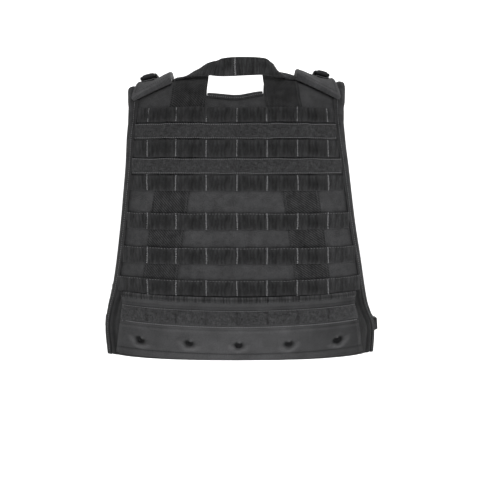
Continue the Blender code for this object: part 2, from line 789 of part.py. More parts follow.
def ring_cloth(name, angles, levels, height, thickness, finish, side, parent):
    """A sheet of this thickness round the side, between two angles and two levels."""
    grids = []
    for face in (height, height + thickness):
        grids.append([[ring_point(angle, level, face, side) for angle in angles] for level in levels])
    return cloth(name, grids[0], grids[1], finish, parent, flip=side < 0)


def build_wing(name, side, parent):
    """One side wing, from inside the back panel round to inside the front panel."""
    angles = steps(WING_BACK_ANGLE, WING_FRONT_ANGLE, WING_PARTS)
    levels = steps(WING_FOOT, WING_TOP, 3)
    return ring_cloth(f"side_wing_{name}", angles, levels, WING_LIFT, WING_THICKNESS, "pad_cloth", side, parent)


def build_wing_strap(name, side, buckle_angle, stand_off, parent):
    """The strap and buckle that draw a wing tight, on its outer face."""
    base = WING_LIFT + WING_THICKNESS + SEAT
    half = NARROW_STRAP_WIDTH / 2
    levels = steps(WING_STRAP_LEVEL - half, WING_STRAP_LEVEL + half, 1)
    start = buckle_angle - WING_BUCKLE_SPAN / 2 - 2.0
    angles = steps(start, WING_STRAP_END_ANGLE, 10)
    ring_cloth(f"wing_strap_{name}", angles, levels, base, NARROW_STRAP_THICKNESS, "webbing", side, parent)
    loops = []
    half = WING_BUCKLE_WIDTH / 2
    low = base + NARROW_STRAP_THICKNESS + SEAT
    for share, wide, thick in ((-0.5, 0.85, 0.5), (-0.3, 1.0, 1.0), (0.05, 0.84, 1.0), (0.5, 0.9, 0.6)):
        angle = buckle_angle + share * WING_BUCKLE_SPAN
        high = low + stand_off + WING_BUCKLE_THICKNESS * thick
        rim = ((-1.0, low), (1.0, low), (0.8, high), (-0.8, high))
        loops.append(
            [ring_point(angle, WING_STRAP_LEVEL + half * wide * z, out, side) for z, out in rim]
        )
    return bar(f"wing_buckle_{name}", loops, "moulded_plastic", parent)


def build_vest():
    """All the pieces of the vest, under one empty at the origin."""
    vest = bpy.data.objects.new("vest", None)
    bpy.context.collection.objects.link(vest)

    levels = steps(HEM_LEVEL, -0.055, 12)
    back_shape = (BACK_EDGES, BACK_NOTCH, BACK_NOTCH_END, BACK_NOTCH_EASE)
    grid, missing = panel_grid(*back_shape, levels, back_neck, BACK_SHOULDER_PARTS, BACK_END_TURN, False)
    laid_cloth("back_panel", grid, 0.0, PANEL_THICKNESS, "panel_cloth", vest, missing)
    build_armhole_tapes("armhole", grid, False, vest)
    inset = 0.0012
    neck_places = steps(BACK_NOTCH[0] + inset, BACK_NOTCH[1] - inset, 8)
    neck_path = [(across, turn_at(across, back_neck(across))) for across in neck_places]
    edge_tape("neck_binding", neck_path, [NECK_TAPE_WIDTH] * len(neck_path), -1, vest)

    levels = steps(HEM_LEVEL, -0.115, 9)
    front_shape = (FRONT_EDGES, FRONT_NOTCH, FRONT_NOTCH_END, FRONT_NOTCH_EASE)
    grid, missing = panel_grid(*front_shape, levels, front_neck, FRONT_SHOULDER_PARTS, FRONT_END_TURN, True)
    laid_cloth("front_panel", grid, 0.0, PANEL_THICKNESS, "panel_cloth", vest, missing, flip=True)
    build_armhole_tapes("front", grid, True, vest)
    build_front_neck_tape(grid, vest)

    build_rows(vest)
    build_loop_strips(vest)
    build_wide_webbing("left", 1, vest)
    build_wide_webbing("right", 2, vest)
    build_handle(vest)
    for pad in PADS:
        build_pad(*pad, vest)
    for buckle in BUCKLES:
        build_buckle(*buckle, vest)
        build_shoulder_strap(*buckle, vest)
    build_flap(vest)
    for snap in SNAPS:
        build_snap(*snap, vest)
    for name, side in (("left", -1), ("right", 1)):
        build_wing(name, side, vest)
    for strap in WING_STRAPS:
        build_wing_strap(*strap, vest)


for leftover in list(bpy.data.objects):
    bpy.data.objects.remove(leftover)
build_vest()
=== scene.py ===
"""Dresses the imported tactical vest: cloth, webbing, tapes, pads, buckles and sewing over its fixed frame.

All lengths are metres. The vest's back looks towards -Y and its left side is at -X. Pieces are laid out as
flat patterns, across the body and up it in degrees of turn, and laid on the same body form as the CAD part.
"""

import json
import logging
import math
from collections.abc import Callable, Sequence
from dataclasses import dataclass, field
from enum import Enum

import bpy
import numpy as np
from mathutils import Euler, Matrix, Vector

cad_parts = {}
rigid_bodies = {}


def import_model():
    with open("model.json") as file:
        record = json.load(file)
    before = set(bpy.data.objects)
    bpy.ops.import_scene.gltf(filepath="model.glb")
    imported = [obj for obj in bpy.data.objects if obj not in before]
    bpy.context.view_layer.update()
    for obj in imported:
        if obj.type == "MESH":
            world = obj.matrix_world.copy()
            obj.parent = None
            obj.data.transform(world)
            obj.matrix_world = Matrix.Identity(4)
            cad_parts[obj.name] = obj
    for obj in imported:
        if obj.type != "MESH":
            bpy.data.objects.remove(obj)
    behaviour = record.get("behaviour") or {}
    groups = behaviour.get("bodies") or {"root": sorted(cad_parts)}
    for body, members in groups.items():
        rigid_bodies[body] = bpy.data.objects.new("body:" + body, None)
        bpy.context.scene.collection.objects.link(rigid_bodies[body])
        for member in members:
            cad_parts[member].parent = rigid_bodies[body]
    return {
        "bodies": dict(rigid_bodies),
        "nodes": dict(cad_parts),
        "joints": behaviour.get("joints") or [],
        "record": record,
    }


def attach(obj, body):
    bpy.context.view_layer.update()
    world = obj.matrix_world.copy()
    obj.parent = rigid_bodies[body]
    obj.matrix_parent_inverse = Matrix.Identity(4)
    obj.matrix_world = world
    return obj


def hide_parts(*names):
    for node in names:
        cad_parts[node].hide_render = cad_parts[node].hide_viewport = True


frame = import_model()

log = logging.getLogger("vest")

Array = np.ndarray
Table = tuple[tuple[float, ...], ...]

SMALL = 1e-4
SMALL_TURN = 0.05


def smooth_read(table: Table, key: Array | float, column: int) -> Array:
    """Read a column of a table at many keys, along a smooth curve through its rows.

    Args:
        table: Rows whose first column is the key.
        key: Where to read.
        column: Which column to read.

    Returns:
        The column's value at each key.
    """
    rows = np.array(sorted(table))
    keys, values = rows[:, 0], rows[:, column]
    key = np.clip(key, keys[0], keys[-1])
    i = np.clip(np.searchsorted(keys, key, side="right") - 1, 0, len(keys) - 2)
    before, after = np.maximum(i - 1, 0), np.minimum(i + 2, len(keys) - 1)
    span = keys[i + 1] - keys[i]
    t = (key - keys[i]) / span
    low_slope = (values[i + 1] - values[before]) / (keys[i + 1] - keys[before]) * span
    high_slope = (values[after] - values[i]) / (keys[after] - keys[i]) * span
    rise = values[i + 1] - values[i]
    return (
        values[i]
        + low_slope * t
        + (3 * rise - 2 * low_slope - high_slope) * t**2
        + (low_slope + high_slope - 2 * rise) * t**3
    )


def unit(vectors: Array) -> Array:
    """The same directions, each of length one."""
    return vectors / np.maximum(np.linalg.norm(vectors, axis=-1, keepdims=True), 1e-12)


def ease(value: Array | float, low: float, high: float) -> Array:
    """A smooth step from 0 at low to 1 at high."""
    t = np.clip((np.asarray(value, float) - low) / (high - low), 0.0, 1.0)
    return t * t * (3 - 2 * t)


def bell(value: Array | float, middle: float, reach: float, power: int = 2) -> Array:
    """A bump of height 1 at the middle; a higher power makes it flatter on top and steeper."""
    return np.exp(-(((value - middle) / reach) ** power))


def lengths_along(points: Array) -> Array:
    """Distance from the first point of a line to each of its points."""
    return np.concatenate([[0.0], np.cumsum(np.linalg.norm(np.diff(points, axis=0), axis=-1))])


def ripple(x: Array, y: Array, size: float, seed: int) -> Array:
    """Gentle unevenness of hand-sewn cloth, from a few crossing waves of about this size.

    Args:
        x: First pattern coordinate in metres.
        y: Second pattern coordinate in metres.
        size: Length of the longest wave.
        seed: Picks the waves.

    Returns:
        Values between about -1 and 1.
    """
    maker = np.random.default_rng(seed)
    total = np.zeros(np.broadcast(x, y).shape)
    for k in range(6):
        angle, phase = maker.uniform(0, math.tau, 2)
        number = math.tau / (size * (1.0 - 0.11 * k))
        total += np.sin(number * (x * math.cos(angle) + y * math.sin(angle)) + phase)
    return total / 3.2


@dataclass(frozen=True)
class Form:
    """The body shape that the vest is laid on: squared level ovals closed by a rounded crest."""

    sections: Table = (
        (-0.440, 0.2110, 0.1190, 2.5),
        (-0.380, 0.2105, 0.1190, 2.5),
        (-0.320, 0.2045, 0.1180, 2.5),
        (-0.250, 0.1950, 0.1140, 2.7),
        (-0.160, 0.1840, 0.1120, 2.9),
    )
    crest: Table = (
        (-0.175, -0.0105),
        (-0.130, -0.0065),
        (-0.095, 0.0050),
        (-0.050, 0.0092),
        (0.000, 0.0100),
        (0.050, 0.0095),
        (0.090, 0.0080),
        (0.130, -0.0030),
        (0.170, -0.0012),
    )
    turn_level: float = -0.160
    rounding: float = 2.4
    drop: float = 0.002
    front: float = 180.0

    def half_depth(self, across: Array, level: Array) -> Array:
        """Depth of the oval at this place across it.

        Args:
            across: Places across the body.
            level: Levels on the body.

        Returns:
            Half the oval's depth at each place.
        """
        wide, deep, square = (smooth_read(self.sections, level, column) for column in (1, 2, 3))
        share = np.minimum(np.abs(across) / wide, 0.995)
        return deep * (1 - share**square) ** (1 / square)

    def point(self, across: Array | float, turn: Array | float) -> Array:
        """Points of the form's surface.

        Args:
            across: Places across the body.
            turn: Degrees of turn up the body.

        Returns:
            The points, with x, y and z in the last axis.
        """
        across, turn = np.broadcast_arrays(np.asarray(across, float), np.asarray(turn, float))
        angle = np.radians(np.clip(turn, 0.0, self.front))
        rise = np.abs(np.sin(angle)) ** (2 / self.rounding)
        cosine = np.cos(angle)
        forward = -np.copysign(np.abs(cosine) ** (2 / self.rounding), cosine)
        crest = smooth_read(self.crest, across, 1)
        over_y = forward * self.half_depth(across, np.full_like(across, self.turn_level))
        over_z = self.turn_level + (crest - self.turn_level) * rise
        below = np.where(turn < 0, -turn, np.maximum(turn - self.front, 0.0))
        level = self.turn_level - below * self.drop
        side_y = np.copysign(self.half_depth(across, level), turn)
        over = (turn >= 0) & (turn <= self.front)
        return np.stack([across, np.where(over, over_y, side_y), np.where(over, over_z, level)], -1)

    def turn_at(self, across: Array | float, level: Array | float, front: bool = False) -> Array:
        """The turn at which the form reaches a level, on its back or its front.

        Args:
            across: Places across the body.
            level: Levels on the body.
            front: Whether to look on the front.

        Returns:
            Degrees of turn up the body.
        """
        across, level = np.broadcast_arrays(np.asarray(across, float), np.asarray(level, float))
        low = (level - self.turn_level) / self.drop
        crest = smooth_read(self.crest, across, 1)
        share = np.clip((level - self.turn_level) / (crest - self.turn_level), 0.0, 1.0)
        high = np.degrees(np.arcsin(share ** (self.rounding / 2)))
        turn = np.where(level <= self.turn_level, low, high)
        return self.front - turn if front else turn

    def slopes(self, across: Array, turn: Array) -> tuple[Array, Array]:
        """How the form runs across and up, for each metre and each degree.

        Args:
            across: Places across the body.
            turn: Degrees of turn up the body.

        Returns:
            Both directions, for each point.
        """
        sideways = self.point(across + SMALL, turn) - self.point(across - SMALL, turn)
        upward = self.point(across, turn + SMALL_TURN) - self.point(across, turn - SMALL_TURN)
        return sideways / (2 * SMALL), upward / (2 * SMALL_TURN)

    def outward(self, across: Array, turn: Array) -> Array:
        """The direction straight off the form."""
        return unit(np.cross(*self.slopes(across, turn)))

    def lay(self, across: Array | float, turn: Array | float, height: Array | float) -> Array:
        """Points this high above the form.

        Args:
            across: Places across the body.
            turn: Degrees of turn up the body.
            height: Height above the form.

        Returns:
            The points, with x, y and z in the last axis.
        """
        across, turn, height = np.broadcast_arrays(
            np.asarray(across, float), np.asarray(turn, float), np.asarray(height, float)
        )
        return self.point(across, turn) + self.outward(across, turn) * height[..., None]

    def shift(
        self, across: Array, turn: Array, direction: Array, distance: Array | float
    ) -> tuple[Array, Array]:
        """Move pattern points along the form.

        Args:
            across: Places across the body.
            turn: Degrees of turn up the body.
            direction: A direction of space for each point.
            distance: How far to move.

        Returns:
            The new places across and turns.
        """
        sideways, upward = self.slopes(across, turn)
        along = unit(direction) * np.asarray(distance, float)[..., None]
        a = (sideways * sideways).sum(-1)
        b = (sideways * upward).sum(-1)
        c = (upward * upward).sum(-1)
        p, q = (along * sideways).sum(-1), (along * upward).sum(-1)
        scale = a * c - b * b
        return across + (p * c - q * b) / scale, turn + (q * a - p * b) / scale

    def spread(self, start: float, end: float, turn_of: Callable[[Array], Array], parts: int) -> Array:
        """Places from start to end that are equal lengths of cloth apart.

        Args:
            start: First place across.
            end: Last place across.
            turn_of: Gives the turn for places across.
            parts: How many equal parts.

        Returns:
            The places across, one more than the parts.
        """
        fine = np.linspace(start, end, parts * 4 + 1)
        points = self.point(fine, turn_of(fine))
        lengths = lengths_along(points)
        return np.interp(np.linspace(0, lengths[-1], parts + 1), lengths, fine)


FORM = Form()


@dataclass(frozen=True)
class Layers:
    """Heights of the layers above the form."""

    seat: float = 0.0005
    sewn_gap: float = 0.0006
    over_webbing: float = 0.0020
    panel: float = 0.0080
    tape: float = 0.0012
    wide_webbing: float = 0.0014
    row: float = 0.0016
    loop: float = 0.0020
    webbing_top: float = 0.0109
    pad_foot: float = 0.0114
    flap_foot: float = 0.0090
    flap: float = 0.0030

    @property
    def flap_face(self) -> float:
        """Height of the flap's outer face."""
        return self.flap_foot + self.flap


LAYERS = Layers()


@dataclass(frozen=True)
class WebbingPlan:
    """Where the two wide webbings run, with level, left centre and right centre."""

    line: Table = (
        (-0.3065, -0.1150, 0.1120),
        (-0.1700, -0.0963, 0.0930),
        (-0.0900, -0.0830, 0.0800),
        (-0.0220, -0.0715, 0.0662),
    )
    width: float = 0.0515
    end_turn: float = 88.0

    def cover(self, across: Array, level: Array) -> Array:
        """How much the webbings lift what lies over them: 1 on top of one, 0 beside both.

        Args:
            across: Places across the body.
            level: Levels on the body.

        Returns:
            A share from 0 to 1 for each place.
        """
        total = np.zeros(np.broadcast(across, level).shape)
        for column in (1, 2):
            away = np.abs(across - smooth_read(self.line, level, column))
            total = np.maximum(total, 1 - ease(away, self.width / 2 - 0.001, self.width / 2 + 0.006))
        return total


WEBBINGS = WebbingPlan()
TACKS = (-0.1300, -0.0888, -0.0455, -0.0008, 0.0430, 0.0865, 0.1305)


def carrier(across: Array, level: Array) -> Array:
    """Height of the cloth that rows and loop strips lie on."""
    return LAYERS.panel + LAYERS.sewn_gap + LAYERS.over_webbing * WEBBINGS.cover(across, level)


def deselect() -> None:
    """Leave object mode with nothing selected."""
    if bpy.context.mode != "OBJECT":
        bpy.ops.object.mode_set(mode="OBJECT")
    bpy.ops.object.select_all(action="DESELECT")


def pick(piece: bpy.types.Object) -> None:
    """Make one object the selected and active one.

    Args:
        piece: The object.
    """
    deselect()
    piece.select_set(True)
    bpy.context.view_layer.objects.active = piece


def apply_modifiers(piece: bpy.types.Object) -> None:
    """Apply all of a piece's modifiers in order.

    Args:
        piece: The piece.
    """
    pick(piece)
    for modifier in list(piece.modifiers):
        bpy.ops.object.modifier_apply(modifier=modifier.name)


def edit_all() -> None:
    """Open the active object for editing, with all of it selected."""
    bpy.ops.object.mode_set(mode="EDIT")
    bpy.ops.mesh.select_all(action="SELECT")


def read_points(piece: bpy.types.Object) -> Array:
    """A piece's points, one a row."""
    return np.array([vertex.co[:] for vertex in piece.data.vertices])


def move_points(piece: bpy.types.Object, points: Array) -> None:
    """Put a piece's points in these places."""
    piece.data.vertices.foreach_set("co", points.astype(np.float32).ravel())
    piece.data.update()


def soften(piece: bpy.types.Object, width: float, segments: int = 2, angle: float = 50.0) -> None:
    """Round a piece's sharp edges.

    Args:
        piece: The piece.
        width: Width of the rounding.
        segments: Steps in it.
        angle: Edges that turn by more than this many degrees are rounded.
    """
    rounding = piece.modifiers.new("rounding", "BEVEL")
    rounding.width = width
    rounding.segments = segments
    rounding.limit_method = "ANGLE"
    rounding.angle_limit = math.radians(angle)
    rounding.harden_normals = False
    apply_modifiers(piece)


def smooth_shade(piece: bpy.types.Object, angle: float = 40.0) -> None:
    """Shade smooth, but keep edges sharper than this many degrees."""
    pick(piece)
    bpy.ops.object.shade_smooth_by_angle(angle=math.radians(angle))


def add_piece(
    name: str,
    points: Array,
    faces: Sequence[Sequence[int]],
    uv: Array,
    finish: str,
    tone: Array | None = None,
) -> bpy.types.Object:
    """Make an object from points and faces.

    Args:
        name: Name of the piece.
        points: Its points, one a row.
        faces: Point numbers of each face, turning outwards.
        uv: Pattern coordinates in metres for each point.
        finish: Name of its material.
        tone: Shade of each point against the finish; even when left out.

    Returns:
        The new object, at the origin.
    """
    mesh = bpy.data.meshes.new(name)
    mesh.from_pydata(np.asarray(points, float).reshape(-1, 3).tolist(), [], [list(face) for face in faces])
    shades = mesh.attributes.new("tone", "FLOAT", "POINT")
    values = np.ones(len(mesh.vertices)) if tone is None else np.asarray(tone).ravel()
    shades.data.foreach_set("value", values.astype(np.float32))
    layer = mesh.uv_layers.new(name="UVMap")
    corners = np.empty(len(mesh.loops), np.int32)
    mesh.loops.foreach_get("vertex_index", corners)
    layer.data.foreach_set("uv", np.asarray(uv, np.float32).reshape(-1, 2)[corners].ravel())
    mesh.validate()
    mesh.update()
    mesh.materials.append(bpy.data.materials[finish])
    piece = bpy.data.objects.new(name, mesh)
    bpy.context.scene.collection.objects.link(piece)
    return piece


@dataclass
class Patch:
    """A flat pattern of cloth: places across, turns and pattern coordinates on a grid."""

    across: Array
    turn: Array
    keep: Array | None = None
    uv: Array = field(init=False)

    def __post_init__(self) -> None:
        """Measure the pattern's own coordinates along the form."""
        points = FORM.point(self.across, self.turn)
        along_u = np.linalg.norm(np.diff(points, axis=1), axis=-1)
        along_v = np.linalg.norm(np.diff(points, axis=0), axis=-1)
        u = np.concatenate([np.zeros((len(points), 1)), np.cumsum(along_u, axis=1)], axis=1)
        middle = int(np.argmin(np.abs(self.across[0])))
        u -= u[:, middle : middle + 1]
        v = np.concatenate([np.zeros((1, points.shape[1])), np.cumsum(along_v, axis=0)])
        self.uv = np.stack([u, v], -1)

    @property
    def level(self) -> Array:
        """Level of each pattern point on the form."""
        return FORM.point(self.across, self.turn)[..., 2]

    def face_size(self) -> tuple[float, float]:
        """Width and length of the pattern when flat."""
        spread = self.uv.reshape(-1, 2).max(0) - self.uv.reshape(-1, 2).min(0)
        return float(spread[0]), float(spread[1])


def shell(
    name: str,
    lower: Array,
    upper: Array,
    uv: Array,
    finish: str,
    keep: Array | None = None,
    flip: bool = False,
    rounding: float = 0.0004,
    tone: Array | None = None,
) -> bpy.types.Object:
    """A closed cloth between two grids of points.

    Args:
        name: Name of the piece.
        lower: Points of the inner face, rows by columns.
        upper: Points of the outer face.
        uv: Pattern coordinates of each point.
        finish: Name of its material.
        keep: Which cells have cloth; all when left out.
        flip: Whether the grid turns the other way round.
        rounding: Width of the rounded edge, or 0 for none.
        tone: Shade of each point.

    Returns:
        The piece.
    """
    rows, columns = lower.shape[:2]
    count = rows * columns
    index = np.arange(count).reshape(rows, columns)
    cells = np.stack([index[:-1, :-1], index[:-1, 1:], index[1:, 1:], index[1:, :-1]], -1)
    cells = cells.reshape(-1, 4) if keep is None else cells[keep]
    if flip:
        cells = cells[:, ::-1]
    ends = {}
    for cell in cells.tolist():
        for k in range(4):
            ends[(cell[k], cell[(k + 1) % 4])] = True
    rim = [(a, b) for a, b in ends if (b, a) not in ends]
    faces = (cells + count).tolist() + cells[:, ::-1].tolist()
    faces += [[a, b, b + count, a + count] for a, b in rim]
    points = np.concatenate([lower.reshape(-1, 3), upper.reshape(-1, 3)])
    both = np.concatenate([uv.reshape(-1, 2), uv.reshape(-1, 2)])
    shade = np.ones(count) if tone is None else np.broadcast_to(tone, (rows, columns)).ravel()
    shade = np.concatenate([shade, shade])
    used = np.unique(np.concatenate([cells.ravel(), cells.ravel() + count]))
    renumber = np.full(len(points), -1)
    renumber[used] = np.arange(len(used))
    faces = [[int(renumber[corner]) for corner in face] for face in faces]
    piece = add_piece(name, points[used], faces, both[used], finish, shade[used])
    if rounding:
        soften(piece, rounding)
    smooth_shade(piece, 60.0)
    return piece


def laid(
    name: str,
    patch: Patch,
    height: Array | float,
    thickness: Array | float,
    finish: str,
    flip: bool = False,
    rounding: float = 0.0004,
    tone: Array | None = None,
) -> bpy.types.Object:
    """Cloth laid on the form.

    Args:
        name: Name of the piece.
        patch: Its pattern.
        height: Height of its inner face above the form.
        thickness: Its thickness.
        finish: Name of its material.
        flip: Whether the pattern turns the other way round.
        rounding: Width of the rounded edge.
        tone: Shade of each point.

    Returns:
        The piece.
    """
    lower = FORM.lay(patch.across, patch.turn, height)
    upper = FORM.lay(patch.across, patch.turn, np.asarray(height) + thickness)
    return shell(name, lower, upper, patch.uv, finish, patch.keep, flip, rounding, tone)


def swept(
    name: str,
    loops: Array,
    uv: Array,
    finish: str,
    tone: Array | None = None,
) -> bpy.types.Object:
    """A bar through rings of points, capped at both ends.

    Args:
        name: Name of the piece.
        loops: Rings by points by three.
        uv: Pattern coordinates of each ring's points.
        finish: Name of its material.
        tone: Shade of each point.

    Returns:
        The piece.
    """
    rings, count = loops.shape[:2]
    faces = []
    for near in range(0, (rings - 1) * count, count):
        far = near + count
        for k in range(count):
            after = (k + 1) % count
            faces.append([near + k, near + after, far + after, far + k])
    faces.append(list(range(count))[::-1])
    faces.append([(rings - 1) * count + k for k in range(count)])
    piece = add_piece(name, loops, faces, uv, finish, tone)
    face_outwards(piece)
    smooth_shade(piece, 45.0)
    return piece


def face_outwards(piece: bpy.types.Object) -> None:
    """Recalculate a closed piece's faces so that they point outwards.

    Args:
        piece: The piece.
    """
    pick(piece)
    edit_all()
    bpy.ops.mesh.normals_make_consistent(inside=False)
    bpy.ops.object.mode_set(mode="OBJECT")


def resample(points: Array, spacing: float, extra: Array) -> tuple[Array, Array]:
    """Equal steps along a line of points.

    Args:
        points: The line.
        spacing: Wanted length of a step.
        extra: Values that go with the points, one a row.

    Returns:
        The new points, and the extra values there.
    """
    lengths = lengths_along(points)
    count = max(int(round(lengths[-1] / spacing)), 1)
    at = np.linspace(0, lengths[-1], count + 1)
    placed, carried = (
        np.stack([np.interp(at, lengths, column) for column in rows.T], -1) for rows in (points, extra)
    )
    return placed, carried


class Thread:
    """Sewing thread: one stitch, copied along lines and joined to one mesh for each seam set."""

    def __init__(self, length: float = 0.0026, width: float = 0.00075) -> None:
        """Model the stitch.

        Args:
            length: Length of a stitch.
            width: Its thickness.
        """
        deselect()
        bpy.ops.mesh.primitive_uv_sphere_add(segments=6, ring_count=4, radius=0.5)
        pattern = bpy.context.object
        edit_all()
        bpy.ops.transform.rotate(value=math.pi / 2, orient_axis="Y", center_override=(0.0, 0.0, 0.0))
        bpy.ops.transform.resize(value=(length, width, width * 0.8), center_override=(0.0, 0.0, 0.0))
        bpy.ops.object.mode_set(mode="OBJECT")
        self.length = length
        self.points = read_points(pattern)
        self.faces = [list(face.vertices) for face in pattern.data.polygons]
        bpy.data.objects.remove(pattern)
        self.places: list[tuple[Array, Array, Array, float, float]] = []

    def along(
        self, points: Array, outward: Array, pitch: float = 0.0033, sink: float = 0.0, wide: float = 1.0
    ) -> None:
        """Sew a line.

        Args:
            points: Points of the line on the cloth.
            outward: The way out of the cloth at each point.
            pitch: Distance from stitch to stitch.
            sink: How deep the thread lies in the cloth.
            wide: Thickness of the thread against the usual.
        """
        at, out = resample(points, pitch, outward)
        middle, run = (at[1:] + at[:-1]) / 2, np.diff(at, axis=0)
        out = unit((out[1:] + out[:-1]) / 2)
        self.places.append((middle - out * sink, unit(run), out, 1.0, wide))

    def bar_tack(self, foot: Array, top: Array, outward: Array, width: float, seed: int) -> None:
        """Sew a bar tack: close stitches that cross a line.

        Args:
            foot: One end of the line.
            top: The other end.
            outward: The way out of the cloth.
            width: Width of the tack.
            seed: Makes each tack a little different.
        """
        maker = np.random.default_rng(seed)
        length = float(np.linalg.norm(top - foot))
        count = max(int(length / 0.0017), 6)
        share = (np.arange(count) + maker.uniform(0.3, 0.7, count)) / count
        run = unit(top - foot)
        side = unit(np.cross(outward, run))
        bow = maker.uniform(-0.0007, 0.0007) * np.sin(share * math.pi)[:, None]
        wander = (maker.uniform(-0.0003, 0.0003, (count, 1)) + bow) * side
        middle = foot + (top - foot) * share[:, None] + wander + outward * 0.0003
        slant = np.where(np.arange(count) % 2, 0.5, 0.15)[:, None]
        ways = unit(side + run * slant)
        self.places.append((middle, ways, np.tile(outward, (count, 1)), width / self.length, 1.25))

    def finish(self, name: str, finish: str) -> bpy.types.Object:
        """Make all the stitches sewn so far one mesh.

        Args:
            name: Name of the piece.
            finish: Name of its material.

        Returns:
            The piece.
        """
        points, uv = [], []
        for middle, run, out, long, wide in self.places:
            side = np.cross(out, run)
            x, y, z = (self.points[None, :, k, None] for k in range(3))
            placed = middle[:, None] + run[:, None] * x * long
            placed = placed + side[:, None] * y * wide + out[:, None] * z * wide
            points.append(placed.reshape(-1, 3))
            uv.append(np.broadcast_to(self.points[None, :, :2], (*placed.shape[:2], 2)).reshape(-1, 2))
        size = len(self.points)
        count = sum(len(block) for block in points) // size
        faces = [[corner + size * k for corner in face] for k in range(count) for face in self.faces]
        piece = add_piece(name, np.concatenate(points), faces, np.concatenate(uv), finish)
        piece.data.shade_smooth()
        return piece


class Weave(Enum):
    """How the threads of a cloth run."""

    PLAIN = "plain"
    RIBS = "ribs"
    PILE = "pile"

    @property
    def middle(self) -> float:
        """Usual height in this weave's pattern."""
        return {Weave.PLAIN: 0.64, Weave.RIBS: 0.56, Weave.PILE: 0.23}[self]


class Wiring:
    """A node tree with short ways to add and join nodes."""

    def __init__(self, tree: bpy.types.NodeTree) -> None:
        """Work on this tree."""
        self.tree = tree

    def add(self, kind: str, settings: dict | None = None, **inputs: object) -> bpy.types.Node:
        """Add a node.

        Args:
            kind: Blender's name of the node type.
            settings: Properties to set on it.
            inputs: A value or a socket for inputs, by name; a number after an underscore picks by place.

        Returns:
            The node.
        """
        node = self.tree.nodes.new(kind)
        for key, value in (settings or {}).items():
            setattr(node, key, value)
        for key, value in inputs.items():
            socket = node.inputs[int(key[1:])] if key[0] == "_" else node.inputs[key]
            if isinstance(value, bpy.types.NodeSocket):
                self.tree.links.new(value, socket)
            else:
                socket.default_value = value
        return node

    def math(self, operation: str, *values: object, clamp: bool = False) -> bpy.types.NodeSocket:
        """Add a Math node and return its result."""
        inputs = {f"_{k}": value for k, value in enumerate(values)}
        return self.add("ShaderNodeMath", {"operation": operation, "use_clamp": clamp}, **inputs).outputs[0]

    def join(self, value: bpy.types.NodeSocket, node: bpy.types.Node, name: str) -> None:
        """Join a socket to a node's input."""
        self.tree.links.new(value, node.inputs[name])

    def ridges(self, value: object) -> bpy.types.NodeSocket:
        """Round ridges, one for each whole step of the value."""
        return self.math("ABSOLUTE", self.math("SINE", self.math("MULTIPLY", value, math.pi)))

    def scaled(self, vector: object, across: object, along: object) -> bpy.types.NodeSocket:
        """Stretch a vector by different amounts along its first two axes.

        Args:
            vector: The vector.
            across: Factor of its first axis.
            along: Factor of its second axis.

        Returns:
            The stretched vector.
        """
        parts = self.add("ShaderNodeSeparateXYZ", None, _0=vector)
        x = self.math("MULTIPLY", parts.outputs[0], across)
        y = self.math("MULTIPLY", parts.outputs[1], along)
        return self.add("ShaderNodeCombineXYZ", None, _0=x, _1=y, _2=parts.outputs[2]).outputs[0]

    def noise(
        self, vector: object, scale: object, detail: float = 2.0, roughness: float = 0.5
    ) -> bpy.types.NodeSocket:
        """Add a Noise Texture and return its value.

        Args:
            vector: Where to read it.
            scale: How fine it is.
            detail: How many finer layers it has.
            roughness: How strong they are.

        Returns:
            The noise's value.
        """
        node = self.add("ShaderNodeTexNoise", None, Vector=vector, Scale=scale)
        node.inputs["Detail"].default_value = detail
        node.inputs["Roughness"].default_value = roughness
        return node.outputs[0]


def start_material(name: str) -> tuple[bpy.types.Material, Wiring, bpy.types.Node]:
    """Start a material.

    Args:
        name: Its name.

    Returns:
        The material, its wiring and its shader node.
    """
    material = bpy.data.materials.new(name)
    material.use_nodes = True
    return material, Wiring(material.node_tree), material.node_tree.nodes["Principled BSDF"]


def group_shell(
    name: str, inputs: Sequence[tuple[str, str, float]], outputs: Sequence[str]
) -> tuple[Wiring, dict, bpy.types.Node]:
    """Start a shader node group.

    Args:
        name: Name of the group.
        inputs: Name, socket type and first value of each input.
        outputs: Names of the value outputs.

    Returns:
        Its wiring, its input sockets by name, and its output node.
    """
    tree = bpy.data.node_groups.new(name, "ShaderNodeTree")
    for label, kind, value in inputs:
        socket = tree.interface.new_socket(name=label, in_out="INPUT", socket_type=kind)
        if kind == "NodeSocketFloat":
            socket.default_value = value
    for label in outputs:
        tree.interface.new_socket(name=label, in_out="OUTPUT", socket_type="NodeSocketFloat")
    entry = tree.nodes.new("NodeGroupInput")
    leave = tree.nodes.new("NodeGroupOutput")
    return Wiring(tree), {socket.name: socket for socket in entry.outputs if socket.name}, leave


VECTOR, FLOAT = "NodeSocketVector", "NodeSocketFloat"


def make_plain_weave() -> bpy.types.NodeTree:
    """Group for threads that cross over and under, with the threads a metre as its scale.

    Returns:
        The group.
    """
    sockets = (("Vector", VECTOR, 0), ("Threads", FLOAT, 900.0))
    wires, given, leave = group_shell("over and under threads", sockets, ("Height",))
    parts = wires.add("ShaderNodeSeparateXYZ", None, _0=given["Vector"])
    u = wires.math("MULTIPLY", parts.outputs[0], given["Threads"])
    v = wires.math("MULTIPLY", parts.outputs[1], given["Threads"])
    odd = wires.math("PINGPONG", wires.math("ADD", wires.math("FLOOR", u), wires.math("FLOOR", v)), 1.0)
    round_u = wires.ridges(u)
    round_v = wires.ridges(v)
    gap = wires.math("SUBTRACT", round_v, round_u)
    height = wires.math("MULTIPLY_ADD", gap, odd, round_u)
    wires.join(height, leave, "Height")
    return wires.tree


